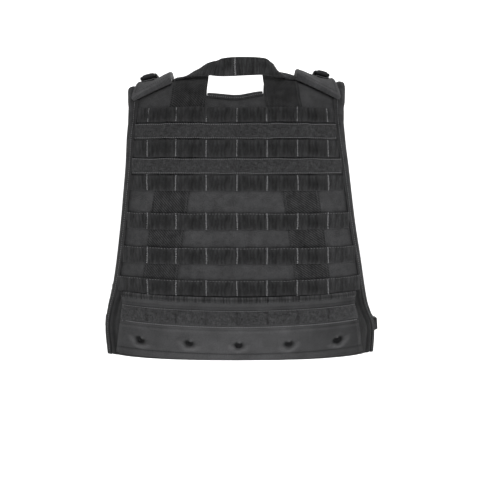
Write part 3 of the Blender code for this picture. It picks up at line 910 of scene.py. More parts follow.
def make_ribs() -> bpy.types.NodeTree:
    """Group for webbing: ribs one way, crossed by finer threads; the slant turns them to twill.

    Returns:
        The group.
    """
    sockets = (
        ("Vector", VECTOR, 0),
        ("Ribs", FLOAT, 500.0),
        ("Threads", FLOAT, 1200.0),
        ("Slant", FLOAT, 0.0),
    )
    wires, given, leave = group_shell("webbing ribs", sockets, ("Height",))
    parts = wires.add("ShaderNodeSeparateXYZ", None, _0=given["Vector"])
    tilt = wires.math("MULTIPLY", parts.outputs[0], given["Slant"])
    v = wires.math("MULTIPLY", wires.math("ADD", parts.outputs[1], tilt), given["Ribs"])
    rib = wires.ridges(v)
    step = wires.math("MULTIPLY", wires.math("FLOOR", v), 0.5)
    u = wires.math("MULTIPLY_ADD", parts.outputs[0], given["Threads"], step)
    thread = wires.ridges(u)
    height = wires.math("MULTIPLY", rib, wires.math("MULTIPLY_ADD", thread, 0.35, 0.65))
    wires.join(height, leave, "Height")
    return wires.tree


def make_pile() -> bpy.types.NodeTree:
    """Group for the fuzzy loops of fastening tape: small tangled clumps of this size in metres.

    Returns:
        The group.
    """
    sockets = (("Vector", VECTOR, 0), ("Clump", FLOAT, 0.0016))
    wires, given, leave = group_shell("tangled loops", sockets, ("Height", "Clumps"))
    scale = wires.math("DIVIDE", 1.0, given["Clump"])
    coarse = wires.noise(given["Vector"], scale, 3.0, 0.65)
    cells = wires.add("ShaderNodeTexVoronoi", {"feature": "SMOOTH_F1"}, Vector=given["Vector"])
    wires.join(wires.math("MULTIPLY", scale, 1.6), cells, "Scale")
    curl = wires.math("MULTIPLY_ADD", cells.outputs["Distance"], -0.6, coarse)
    wires.join(curl, leave, "Height")
    patchy = wires.noise(given["Vector"], wires.math("MULTIPLY", scale, 0.42), 4.0, 0.7)
    wires.join(patchy, leave, "Clumps")
    return wires.tree


def make_wear() -> bpy.types.NodeTree:
    """Group for uneven colour: broad fading, streaks across the cloth and fine dust.

    Returns:
        The group.
    """
    sockets = (("Vector", VECTOR, 0), ("Patch", FLOAT, 0.03), ("Streak", FLOAT, 190.0))
    wires, given, leave = group_shell("fading and dust", sockets, ("Fading", "Streaks", "Dust"))
    broad = wires.noise(given["Vector"], wires.math("DIVIDE", 1.0, given["Patch"]), 3.0, 0.6)
    wires.join(broad, leave, "Fading")
    stretched = wires.scaled(given["Vector"], given["Streak"], 35.0)
    loose = wires.noise(stretched, 1.0, 2.0, 0.5)
    across = wires.add("ShaderNodeSeparateXYZ", None, _0=stretched).outputs[0]
    wavering = wires.math("MULTIPLY_ADD", broad, 2.0, across)
    even = wires.math("SINE", wires.math("MULTIPLY", wavering, math.tau))
    wires.join(wires.math("MULTIPLY_ADD", even, 0.07, loose), leave, "Streaks")
    wires.join(wires.noise(given["Vector"], 620.0, 2.0, 0.6), leave, "Dust")
    return wires.tree


GROUPS = {
    "plain": make_plain_weave(),
    "ribs": make_ribs(),
    "pile": make_pile(),
    "wear": make_wear(),
}


def place_group(wires: Wiring, key: str, **inputs: object) -> bpy.types.Node:
    """Put one of the shared groups in a material.

    Args:
        wires: The material's wiring.
        key: Which group.
        inputs: Values or sockets for its inputs.

    Returns:
        The group node.
    """
    return wires.add("ShaderNodeGroup", {"node_tree": GROUPS[key]}, **inputs)


@dataclass(frozen=True)
class ClothFinish:
    """A woven or fuzzy cloth: its colour, threads, wear and sheen."""

    name: str
    colour: tuple[float, float, float]
    weave: Weave = Weave.PLAIN
    threads: float = 900.0
    ribs: float = 500.0
    slant: float = 0.0
    clump: float = 0.0016
    relief: float = 0.0002
    fading: float = 0.25
    streaks: float = 0.0
    streak_count: float = 190.0
    dust: float = 0.12
    patch: float = 0.03
    roughness: float = 0.85
    sheen: float = 0.12
    turned: bool = False
    contrast: float = 0.5

    def make(self) -> None:
        """Build the material, with its pattern on the piece's own coordinates in metres."""
        material, wires, shader = start_material(self.name)
        place = wires.add("ShaderNodeUVMap", {"uv_map": "UVMap"}).outputs[0]
        if self.turned:
            quarter = (0.0, 0.0, math.pi / 2)
            place = wires.add("ShaderNodeMapping", None, Vector=place, Rotation=quarter).outputs[0]
        wear = place_group(wires, "wear", Vector=place, Patch=self.patch, Streak=self.streak_count)
        faded = wires.math("SUBTRACT", wear.outputs["Fading"], 0.5)
        shade = wires.math("MULTIPLY_ADD", faded, self.fading * 2, 1.0)
        if self.streaks:
            streak = wires.math("SUBTRACT", wear.outputs["Streaks"], 0.5)
            shade = wires.math("MULTIPLY_ADD", streak, self.streaks * 2, shade)
        dusty = wires.math("SUBTRACT", wear.outputs["Dust"], 0.5)
        shade = wires.math("MULTIPLY_ADD", dusty, self.dust * 2, shade)
        if self.weave is Weave.PILE:
            cloth = place_group(wires, "pile", Vector=place, Clump=self.clump)
            clumps = wires.math("SUBTRACT", cloth.outputs["Clumps"], 0.5)
            shade = wires.math("MULTIPLY_ADD", clumps, 1.8, shade)
        elif self.weave is Weave.RIBS:
            cloth = place_group(
                wires, "ribs", Vector=place, Ribs=self.ribs, Threads=self.threads, Slant=self.slant
            )
        else:
            cloth = place_group(wires, "plain", Vector=place, Threads=self.threads)
        height = cloth.outputs["Height"]
        # Painted shade between the threads: the colour darkens where the weave's height is low.
        depth = wires.math("MULTIPLY_ADD", height, self.contrast, 1 - self.contrast * self.weave.middle)
        shade = wires.math("MULTIPLY", shade, depth)
        tone = wires.add("ShaderNodeAttribute", {"attribute_name": "tone"})
        shade = wires.math("MULTIPLY", shade, tone.outputs["Fac"])
        colour = wires.add("ShaderNodeVectorMath", {"operation": "SCALE"}, _0=self.colour, Scale=shade)
        wires.join(colour.outputs[0], shader, "Base Color")
        rough = wires.math("MULTIPLY_ADD", wear.outputs["Dust"], 0.18, self.roughness - 0.09, clamp=True)
        wires.join(rough, shader, "Roughness")
        shader.inputs["Sheen Weight"].default_value = self.sheen
        shader.inputs["Sheen Roughness"].default_value = 0.45
        shader.inputs["Specular IOR Level"].default_value = 0.18
        bump = wires.add("ShaderNodeBump", None, Height=height, Strength=0.8, Distance=self.relief)
        wires.join(bump.outputs[0], shader, "Normal")
        material.diffuse_color = (*self.colour, 1.0)


@dataclass(frozen=True)
class HardFinish:
    """Moulded plastic or dark metal: fine grain, scuffed patches and a soft gloss."""

    name: str
    colour: tuple[float, float, float]
    scuff: tuple[float, float, float]
    roughness: float = 0.4
    metallic: float = 0.0
    grain: float = 0.00003

    def make(self) -> None:
        """Build the material on the piece's Object coordinates."""
        material, wires, shader = start_material(self.name)
        place = wires.add("ShaderNodeTexCoord").outputs["Object"]
        wear = place_group(wires, "wear", Vector=place, Patch=0.008, Streak=260.0)
        worn = wires.math("MULTIPLY_ADD", wear.outputs["Fading"], 3.0, -1.55, clamp=True)
        sides = wires.add("ShaderNodeMix", {"data_type": "RGBA"}, _0=worn)
        sides.inputs[6].default_value = (*self.colour, 1.0)
        sides.inputs[7].default_value = (*self.scuff, 1.0)
        wires.join(sides.outputs[2], shader, "Base Color")
        rough = wires.math("MULTIPLY_ADD", wear.outputs["Dust"], 0.3, self.roughness - 0.1, clamp=True)
        wires.join(rough, shader, "Roughness")
        shader.inputs["Metallic"].default_value = self.metallic
        dust = wear.outputs["Dust"]
        bump = wires.add("ShaderNodeBump", None, Height=dust, Strength=0.5, Distance=self.grain)
        wires.join(bump.outputs[0], shader, "Normal")
        material.diffuse_color = (*self.colour, 1.0)


COOLER = 1.03


def grey(value: float) -> tuple[float, float, float]:
    """A near-neutral grey, a little cooler in blue."""
    return (value, value, value * COOLER)


THREAD = {
    "weave": Weave.RIBS,
    "threads": 2500.0,
    "ribs": 2500.0,
    "relief": 0.00005,
    "fading": 0.5,
    "dust": 0.6,
}
CLOTHS = (
    ClothFinish(
        "cover cloth", grey(0.060), threads=1100.0, relief=0.00012, fading=0.5, patch=0.012, dust=0.7,
    ),
    ClothFinish("pad cloth", grey(0.100), threads=1100.0, relief=0.00012, fading=0.5, patch=0.02, dust=0.6),
    ClothFinish("flap cloth", grey(0.076), threads=1100.0, relief=0.00012, fading=0.4, patch=0.03, dust=0.5),
    ClothFinish(
        "pouch webbing", grey(0.028), Weave.RIBS, threads=1500.0, ribs=560.0, relief=0.00022, fading=0.5,
        streaks=1.1, dust=0.5, patch=0.012,
    ),
    ClothFinish(
        "shoulder webbing", grey(0.032), Weave.RIBS, threads=900.0, ribs=250.0, slant=0.9, relief=0.0004,
        fading=0.9, streaks=0.5, dust=0.9, patch=0.012, contrast=1.3,
    ),
    ClothFinish(
        "handle webbing", grey(0.034), Weave.RIBS, threads=1400.0, ribs=650.0, relief=0.0004, fading=0.6,
        streaks=1.3, streak_count=230.0, dust=0.5, patch=0.014,
    ),
    ClothFinish(
        "narrow webbing", grey(0.050), Weave.RIBS, threads=1400.0, ribs=420.0, relief=0.0003, fading=0.5,
        dust=0.5, contrast=0.7,
    ),
    ClothFinish(
        "edge tape", grey(0.037), Weave.RIBS, threads=1300.0, ribs=500.0, relief=0.0003, fading=0.7,
        streaks=0.8, dust=0.6, patch=0.01,
    ),
    ClothFinish(
        "neck tape", grey(0.032), Weave.RIBS, threads=1300.0, ribs=420.0, relief=0.0004, fading=0.5,
        streaks=1.3, streak_count=330.0, dust=0.5, turned=True, contrast=0.8,
    ),
    ClothFinish(
        "ribbed tape", grey(0.036), Weave.RIBS, threads=1300.0, ribs=700.0, relief=0.0004, fading=0.5,
        streaks=1.7, streak_count=250.0, dust=0.8, contrast=0.6,
    ),
    ClothFinish(
        "loop pile", grey(0.043), Weave.PILE, clump=0.0024, relief=0.0009, fading=0.35, dust=0.6,
        roughness=0.95, sheen=0.3, contrast=1.3,
    ),
    ClothFinish("thread", grey(0.20), sheen=0.2, **THREAD),
    ClothFinish("pale thread", grey(0.30), sheen=0.2, **THREAD),
    ClothFinish("edge thread", grey(0.17), **THREAD),
    ClothFinish("dim thread", grey(0.075), **THREAD),
    ClothFinish("dark thread", grey(0.014), **THREAD),
)
HARDS = (
    HardFinish("moulded plastic", (0.0085, 0.0085, 0.0092), (0.020, 0.020, 0.021), roughness=0.42),
    HardFinish("dark metal", (0.009, 0.009, 0.010), (0.035, 0.035, 0.036), roughness=0.40, metallic=0.8),
)


class Slot(Enum):
    """The record's material slots."""

    PANEL = "panel_cloth"
    PAD = "pad_cloth"
    FLAP = "flap_cloth"
    WEBBING = "webbing"
    LOOP = "loop_tape"
    TAPE = "edge_tape"
    PLASTIC = "moulded_plastic"
    METAL = "dark_metal"


def settle(piece: bpy.types.Object, slot: Slot, *nodes: str) -> None:
    """Fix a finished piece to the vest's one body and hide the CAD nodes that it stands for.

    Args:
        piece: The piece.
        slot: Not used.
        nodes: CAD nodes that it replaces.
    """
    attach(piece, "root")
    if nodes:
        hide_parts(*nodes)
    log.info("%s: %d faces", piece.name, len(piece.data.polygons))


TAPE_FOOT_WIDTH, TAPE_TOP_WIDTH = 0.0078, 0.0112


def tape_width(level: Array | float) -> Array:
    """Width of the armhole tape at a level: it widens from the hem to the shoulder."""
    return np.interp(level, (-0.405, -0.03), (TAPE_FOOT_WIDTH, TAPE_TOP_WIDTH))


def back_neck(across: Array) -> Array:
    """Level of the back's neck row."""
    line = ((-0.16, -0.025), (-0.046, -0.018), (0.0, -0.0208), (0.0385, -0.0155), (0.16, -0.025))
    return smooth_read(line, across, 1)


def front_neck(across: Array) -> Array:
    """Level of the front's neck row, which scoops down to the middle."""
    return -0.09 + 0.012 * np.minimum(np.abs(across) / 0.05, 1.0) ** 2


@dataclass(frozen=True)
class PanelPlan:
    """Pattern of the back or front: its edges by level, its neck notch and its two shoulders."""

    edges: Table
    notch: tuple[float, float]
    notch_end: tuple[float, float]
    spreading: float
    top_level: float
    end_turn: float
    front: bool
    neck: Callable[[Array], Array]
    hem: float = -0.4050
    side_parts: int = 44
    notch_parts: int = 24
    level_rows: int = 96
    shoulder_rows: int = 26

    def places(self, level: float, turn_of: Callable[[Array], Array], notch: tuple[float, float]) -> Array:
        """Places of one row from the left edge over the notch to the right edge.

        Args:
            level: Level of the row.
            turn_of: Gives the turn for places across.
            notch: The notch's left and right edge.

        Returns:
            The places across.
        """
        left, right = (float(smooth_read(self.edges, level, column)) for column in (1, 2))
        return np.concatenate(
            [
                FORM.spread(left, notch[0], turn_of, self.side_parts),
                FORM.spread(notch[0], notch[1], turn_of, self.notch_parts)[1:-1],
                FORM.spread(notch[1], right, turn_of, self.side_parts),
            ]
        )

    def patch(self) -> Patch:
        """Lay out the pattern.

        Returns:
            The pattern, with the neck left open.
        """
        rows = []
        for level in np.linspace(self.hem, self.top_level, self.level_rows + 1):
            across = self.places(level, lambda x: FORM.turn_at(x, level, self.front), self.notch)
            rows.append((across, FORM.turn_at(across, level, self.front)))
        middle = float(self.neck(0.0))
        for below, parts in ((0.008, 8), (0.0, 3)):
            across = self.places(
                middle - below, lambda x: FORM.turn_at(x, self.neck(x) - below, self.front), self.notch
            )
            stop = (across, FORM.turn_at(across, self.neck(across) - below, self.front))
            start = rows[-1]
            for share in np.linspace(0, 1, parts + 1)[1:]:
                rows.append(tuple(near + (far - near) * share for near, far in zip(start, stop)))
        neck_row = len(rows) - 1
        across, turn = rows[neck_row]

        def end(x: Array) -> Array:
            """The turn of the shoulder's end, at every place."""
            return np.full(np.shape(x), self.end_turn)

        near = self.places(0.0, end, self.notch)
        far = self.places(0.0, end, self.notch_end)
        for share in np.linspace(0, 1, self.shoulder_rows + 1)[1:]:
            place = across + (near - across) * share + (far - near) * share**self.spreading
            rows.append((place, turn + (self.end_turn - turn) * share))
        across, turn = (np.array([row[k] for row in rows]) for k in (0, 1))
        keep = np.ones((len(rows) - 1, across.shape[1] - 1), bool)
        keep[neck_row:, self.side_parts : self.side_parts + self.notch_parts] = False
        return Patch(across, turn, keep)

    def edge_distance(self, patch: Patch) -> Array:
        """Distance along the cloth from each pattern point to its nearer side edge."""
        u = patch.uv[..., 0]
        return np.minimum(u - u[:, :1], u[:, -1:] - u)

    def neck_path(self, patch: Patch) -> tuple[Array, Array]:
        """The notch's outline: down its left side, along its foot and up its right side.

        Args:
            patch: The panel's pattern.

        Returns:
            Places across and turns along it.
        """
        left, right = self.side_parts, self.side_parts + self.notch_parts
        top = len(patch.across) - self.shoulder_rows - 1
        parts = []
        for grid in (patch.across, patch.turn):
            down, up = grid[top + 1 :, left][::-1], grid[top + 1 :, right]
            parts.append(np.concatenate([down, grid[top, left : right + 1], up]))
        return parts[0], parts[1]


BACK = PanelPlan(
    edges=(
        (-0.4050, -0.1900, 0.2005),
        (-0.3650, -0.1938, 0.2020),
        (-0.3300, -0.1885, 0.1905),
        (-0.3060, -0.1820, 0.1855),
        (-0.2630, -0.1748, 0.1786),
        (-0.2070, -0.1677, 0.1690),
        (-0.1620, -0.1631, 0.1628),
        (-0.1170, -0.1590, 0.1572),
        (-0.0800, -0.1578, 0.1528),
        (-0.0340, -0.1565, 0.1518),
        (0.0000, -0.1650, 0.1625),
    ),
    notch=(-0.0460, 0.0385),
    notch_end=(-0.0660, 0.0620),
    spreading=3.0,
    top_level=-0.055,
    end_turn=91.0,
    front=False,
    neck=back_neck,
)
FRONT = PanelPlan(
    edges=(
        (-0.4050, -0.1700, 0.1700),
        (-0.3000, -0.1640, 0.1640),
        (-0.2200, -0.1500, 0.1500),
        (-0.1400, -0.1420, 0.1420),
        (-0.0700, -0.1480, 0.1480),
        (0.0000, -0.1630, 0.1610),
    ),
    notch=(-0.0500, 0.0500),
    notch_end=(-0.0680, 0.0640),
    spreading=0.6,
    top_level=-0.115,
    end_turn=92.0,
    front=True,
    neck=front_neck,
    level_rows=72,
    shoulder_rows=44,
)
FLAP_TOP = -0.3118


@dataclass
class PaddedPanels:
    """The padded back with its neck notch, and the plain padded front."""

    ridge_middle: float = 0.0112
    ridge_reach: float = 0.0034
    ridge_height: float = 0.0016
    channel_middle: float = 0.0166
    channel_depth: float = 0.0012
    back: Patch = field(default_factory=BACK.patch)
    front: Patch = field(default_factory=FRONT.patch)

    def back_relief(self) -> tuple[Array, Array]:
        """How the back's cover rises and falls, and its tone with painted shade and highlights.

        Returns:
            Height above the flat panel, and tone, for each pattern point.
        """
        patch = self.back
        level, x = patch.level, patch.across
        away = BACK.edge_distance(patch)
        soft = ripple(x, level, 0.055, 3) * 0.00045 + ripple(x, level, 0.022, 4) * 0.00018
        open_cloth = 1 - WEBBINGS.cover(x, level)
        relief = soft * (0.35 + 0.65 * open_cloth) * ease(away, 0.004, 0.02)
        low = 1 - ease(level, -0.312, -0.298)
        ridge = bell(away, self.ridge_middle, self.ridge_reach)
        channel = bell(away, self.channel_middle, 0.0026)
        relief += low * (self.ridge_height * ridge - self.channel_depth * channel)
        corner = bell(level, -0.305, 0.011) * (1 - ease(away, 0.02, 0.03))
        relief += corner * (0.0012 * ripple(x, level, 0.014, 9) + 0.0008)
        # Painted highlight on the ridge and painted shade in the channel beside the flap; the ripple is
        # uneven tone of the cloth.
        tone = 1.0 + 0.10 * low * ridge - 0.75 * low * channel + 0.08 * ripple(x, level, 0.08, 5)
        # Painted shade: darker towards the sides low down, more on the right.
        tone *= 1 - (0.33 + 0.15 * np.sign(x)) * low * (1 - ease(away, 0.034, 0.046))
        # Painted shade: a narrow dark band by the tapes above the flap's top, and a broader falloff towards
        # every edge.
        tone *= 1 - 0.30 * bell(away, 0.0, 0.0135, 8) * (1 - low) - 0.14 * bell(away, 0.0, 0.035)
        # Painted shade below the flap's top and under the handle by the neck.
        flap_shadow = 1 - ease(level, -0.310, -0.290)
        handle_shadow = ease(level, -0.045, -0.030) * (np.abs(x) < 0.05)
        tone *= 1 - 0.32 * flap_shadow - 0.20 * handle_shadow
        return relief, tone

    def build(self) -> None:
        relief, tone = self.back_relief()
        thickness = LAYERS.panel + relief
        back = laid("back_cover", self.back, 0.0, thickness, "cover cloth", rounding=0.0016, tone=tone)
        settle(back, Slot.PANEL, "back_panel")
        patch = self.front
        away = FRONT.edge_distance(patch)
        relief = ripple(patch.across, patch.level, 0.07, 12) * 0.0007 * ease(away, 0.006, 0.03)
        tone = 1.0 + 0.06 * ripple(patch.across, patch.level, 0.09, 13)
        front = laid("front_cover", patch, 0.0, LAYERS.panel + relief, "cover cloth", True, 0.0016, tone)
        settle(front, Slot.PANEL, "front_panel")


@dataclass
class EdgeTapes:
    """Folded tapes round the panels' edges, each sewn down along its inner part."""

    panels: PaddedPanels
    inner_width: float = 0.0062
    seat: float = 0.0012
    neck_seat: float = 0.0007
    neck_width: float = 0.0062
    lip: float = 0.0058
    crest: float = 0.0036
    reach: float = 0.38
    sewing: Thread = field(default_factory=Thread)

    def section(self, seat: float) -> tuple[Array, Array, Array]:
        """The tape's section, for a tape one unit wide.

        Args:
            seat: Room between panel and tape.

        Returns:
            Share of the width in from the edge, distance beyond the edge, and height over the form.
        """
        thick = LAYERS.tape
        high = LAYERS.panel + seat
        over = np.array([1.0, 1.0, 0.86, 0.72, 0.60, 0.52, 0.44, 0.34, 0.22])
        lift = thick * np.array([0.0, 1.0, 1.15, 1.15, 0.95, 0.6, 1.0, 1.5, 1.55])
        middle, half = LAYERS.panel / 2, LAYERS.panel / 2 + seat + thick * 1.15
        turn = np.radians(np.linspace(68, -90, 9))
        fold_x = -(seat + thick + self.lip) * np.abs(np.cos(turn)) ** 0.8 + 0.0022
        fold_z = middle + half * np.copysign(np.abs(np.sin(turn)) ** 0.8, turn)
        back_x = np.array([0.5, 1.0, 1.0, 0.4])
        back_z = np.array([-seat - thick * 1.1, -seat - thick, -seat, -seat])
        skin = np.radians(np.linspace(-90, 90, 5))
        skin_x = -seat * np.cos(skin)
        skin_z = middle + (LAYERS.panel / 2 + seat) * np.sin(skin)
        share = np.concatenate([over, np.zeros(9), np.zeros(4), np.zeros(5)])
        beyond = np.concatenate([np.zeros(9), fold_x, back_x * self.inner_width, skin_x])
        height = np.concatenate([high + lift, fold_z, back_z, skin_z])
        return share, beyond, height

    def tape(
        self,
        name: str,
        path: tuple[Array, Array],
        widths: Array,
        sign: float,
        seat: float,
        finish: str,
        level_ends: bool,
        node: str,
    ) -> None:
        """Fold one tape round an edge and sew it down.

        Args:
            name: Name of the piece.
            path: Places across and turns of the panel's edge.
            widths: Width of the outer face at each of them.
            sign: Which side of the path the panel is on.
            seat: Room between panel and tape.
            finish: Name of the tape's material.
            level_ends: Whether both ends are cut level.
            node: CAD node that it replaces.
        """
        across, turn = path
        points = FORM.point(across, turn)
        run = unit(np.gradient(points, axis=0))
        out = FORM.outward(across, turn)
        inward = unit(np.cross(out, run)) * sign
        if level_ends:
            sideways, _ = FORM.slopes(across, turn)
            flat = unit(sideways) * np.sign(inward[len(inward) // 2, 0])
            order = np.arange(len(across))
            weight = 1 - ease(np.minimum(order, order[::-1]), 0, 9)
            inward = unit(inward * (1 - weight[:, None]) + flat * weight[:, None])
        share, beyond, height = self.section(seat)
        along = lengths_along(points)
        puckers = 1 + 0.05 * np.sin(along / 0.0041 + 2.0 * np.sin(along / 0.013))
        crest = self.crest * bell(turn, 90.0, 16.0, 4) if level_ends else np.zeros(len(turn))
        loops = []
        for part, extra, rise in zip(share, beyond, height):
            fill = puckers if part > 0 else 1.0
            place = FORM.shift(across, turn, inward, part * widths + extra)
            lift = LAYERS.panel + seat + (rise - LAYERS.panel - seat) * fill if part > 0 else rise
            near = 1 - ease(part * widths, 0.0035, 0.0065)
            loops.append(FORM.lay(*place, lift + crest * near * min(max(rise / LAYERS.panel, 0.0), 1.0)))
        loops = np.stack(loops, 1)
        round_it = lengths_along(loops[0])
        uv = np.stack(np.broadcast_arrays(round_it[None, :], along[:, None]), -1)
        tone = np.ones(loops.shape[:2])
        # Painted shade in the sewn groove (column 5); the tape is also a little darker inside the groove and
        # lighter over its rolled outer edge.
        tone[:, 2:5] = 0.80
        tone[:, 5] = 0.55
        tone[:, 7:12] = 1.22
        # Painted shade: the armhole tapes darken below the flap's top, more on the right.
        if name.startswith("armhole"):
            low = 1 - ease(points[:, 2], -0.325, -0.290)
            tone *= 1 - (low * (0.40 + 0.11 * np.sign(across)))[:, None]
        piece = swept(name, loops, uv, finish, tone=tone)
        settle(piece, Slot.TAPE, node)
        groove = loops[:, 5]
        self.sewing.along(groove, out, sink=-0.0005, wide=1.1)

    def build(self) -> None:
        """Build the four armhole tapes and the two neck tapes."""
        sides = (("armhole_binding", self.panels.back, 1.0), ("front_binding", self.panels.front, -1.0))
        for label, patch, sign in sides:
            for side, column in (("left", 0), ("right", -1)):
                path = patch.across[:, column], patch.turn[:, column].copy()
                path[1][-1] += sign * self.reach
                widths = tape_width(FORM.point(*path)[:, 2])
                way = sign * (-1.0 if side == "left" else 1.0)
                name = f"{label}_{side}"
                self.tape(f"{name}_tape", path, widths, way, self.seat, "edge tape", True, name)
        inset = 0.0012
        across = np.linspace(BACK.notch[0] + inset, BACK.notch[1] - inset, 40)
        path = across, FORM.turn_at(across, back_neck(across))
        widths = np.full(len(across), self.neck_width)
        self.tape("back_neck_tape", path, widths, -1.0, self.neck_seat, "neck tape", False, "neck_binding")
        path = FRONT.neck_path(self.panels.front)
        widths = np.full(len(path[0]), self.neck_width)
        node = "front_neck_binding"
        self.tape("front_neck_tape", path, widths, 1.0, self.neck_seat, "neck tape", False, node)
        settle(self.sewing.finish("tape_stitching", "thread"), Slot.TAPE)


def surface_line(
    patch: Patch, height: Array, row: int | None = None, column: int | None = None
) -> tuple[Array, Array]:
    """Points and outward directions along one row or column of a laid pattern.

    Args:
        patch: The pattern.
        height: Height of its outer face.
        row: Row to follow.
        column: Column to follow.

    Returns:
        Points on the face, and the way out of it.
    """
    cut = (row, slice(None)) if row is not None else (slice(None), column)
    across, turn = patch.across[cut], patch.turn[cut]
    high = np.broadcast_to(height, patch.across.shape)[cut]
    return FORM.lay(across, turn, high), FORM.outward(across, turn)


def band_ends(level: float, inset: float) -> tuple[float, float]:
    """Places where a band across the back meets the armhole tapes, this far inside them.

    Args:
        level: Level of the band's middle.
        inset: How far inside the tapes.

    Returns:
        The left and the right place.
    """
    ends = []
    for right in (False, True):
        edge = np.array(smooth_read(BACK.edges, level, 2 if right else 1))
        turn = FORM.turn_at(edge, level)
        sideways, _ = FORM.slopes(edge, turn)
        inward = -sideways if right else sideways
        ends.append(float(FORM.shift(edge, turn, inward, tape_width(level) + inset)[0]))
    return ends[0], ends[1]


RISE_REACH, RISE_POWER = 0.17, 1.5


def hem_rise(across: Array | float, rise: float) -> Array | float:
    """How far a band at the hem climbs towards the sides."""
    return rise * (np.abs(across) / RISE_REACH) ** RISE_POWER


@dataclass(frozen=True)
class BandPlan:
    """One band across the back, from tape to tape."""

    name: str
    top: float
    foot: float
    node: str
    end_rise: float = 0.0
    sewn_top: bool = True
    sewn_foot: bool = True

    def patch(self, rows: int) -> Patch:
        """Lay out the band with columns gathered at its tacks.

        Args:
            rows: Cells from foot to top.

        Returns:
            The pattern.
        """
        left, right = band_ends((self.top + self.foot) / 2, 0.0005)
        stops = [left, *TACKS, right]
        parts = [np.linspace(near, far, 17)[1:] for near, far in zip(stops, stops[1:])]
        across = np.concatenate([[left], *parts])
        share = np.linspace(0, 1, rows + 1)[:, None]
        rise = hem_rise(across, self.end_rise)
        uneven = 0.00035 * ripple(across, share * 0.02, 0.05, len(self.name) + int(-self.top * 1e4))
        level = self.foot + (self.top - self.foot) * share + rise + uneven
        across = np.broadcast_to(across, level.shape)
        return Patch(across, FORM.turn_at(across, level))


def bay_shape(across: Array) -> tuple[Array, Array, Array]:
    """Where each place lies between its two tacks.

    Args:
        across: Places across the body.

    Returns:
        Bay number, share of the way through it from -1 to 1, and 1 inside the outer tacks or 0 beyond.
    """
    stops = np.array([-0.2, *TACKS, 0.2])
    bay = np.clip(np.searchsorted(stops, across, side="right") - 1, 0, len(stops) - 2)
    middle = 2 * (across - stops[bay]) / (stops[bay + 1] - stops[bay]) - 1
    inside = ((bay > 0) & (bay < len(stops) - 2)).astype(float)
    return bay, middle, inside


def pile_layer(patch: Patch, seed: int) -> tuple[Array, Array]:
    """The uneven pile of a loop strip, thinner at its long edges.

    Args:
        patch: The strip's pattern.
        seed: Picks the unevenness.

    Returns:
        How full the pile is at each row, and its thickness.
    """
    share = np.linspace(0, 1, len(patch.across))[:, None]
    pile = np.clip(1 - np.abs(2 * share - 1) ** 7, 0, 1)
    across, level = patch.across, patch.level
    fuzz = 0.00022 * ripple(across, level, 0.007, seed) + 0.00018 * ripple(across, level, 0.0034, seed + 1)
    return pile, LAYERS.loop * (0.55 + 0.45 * pile) + fuzz * pile


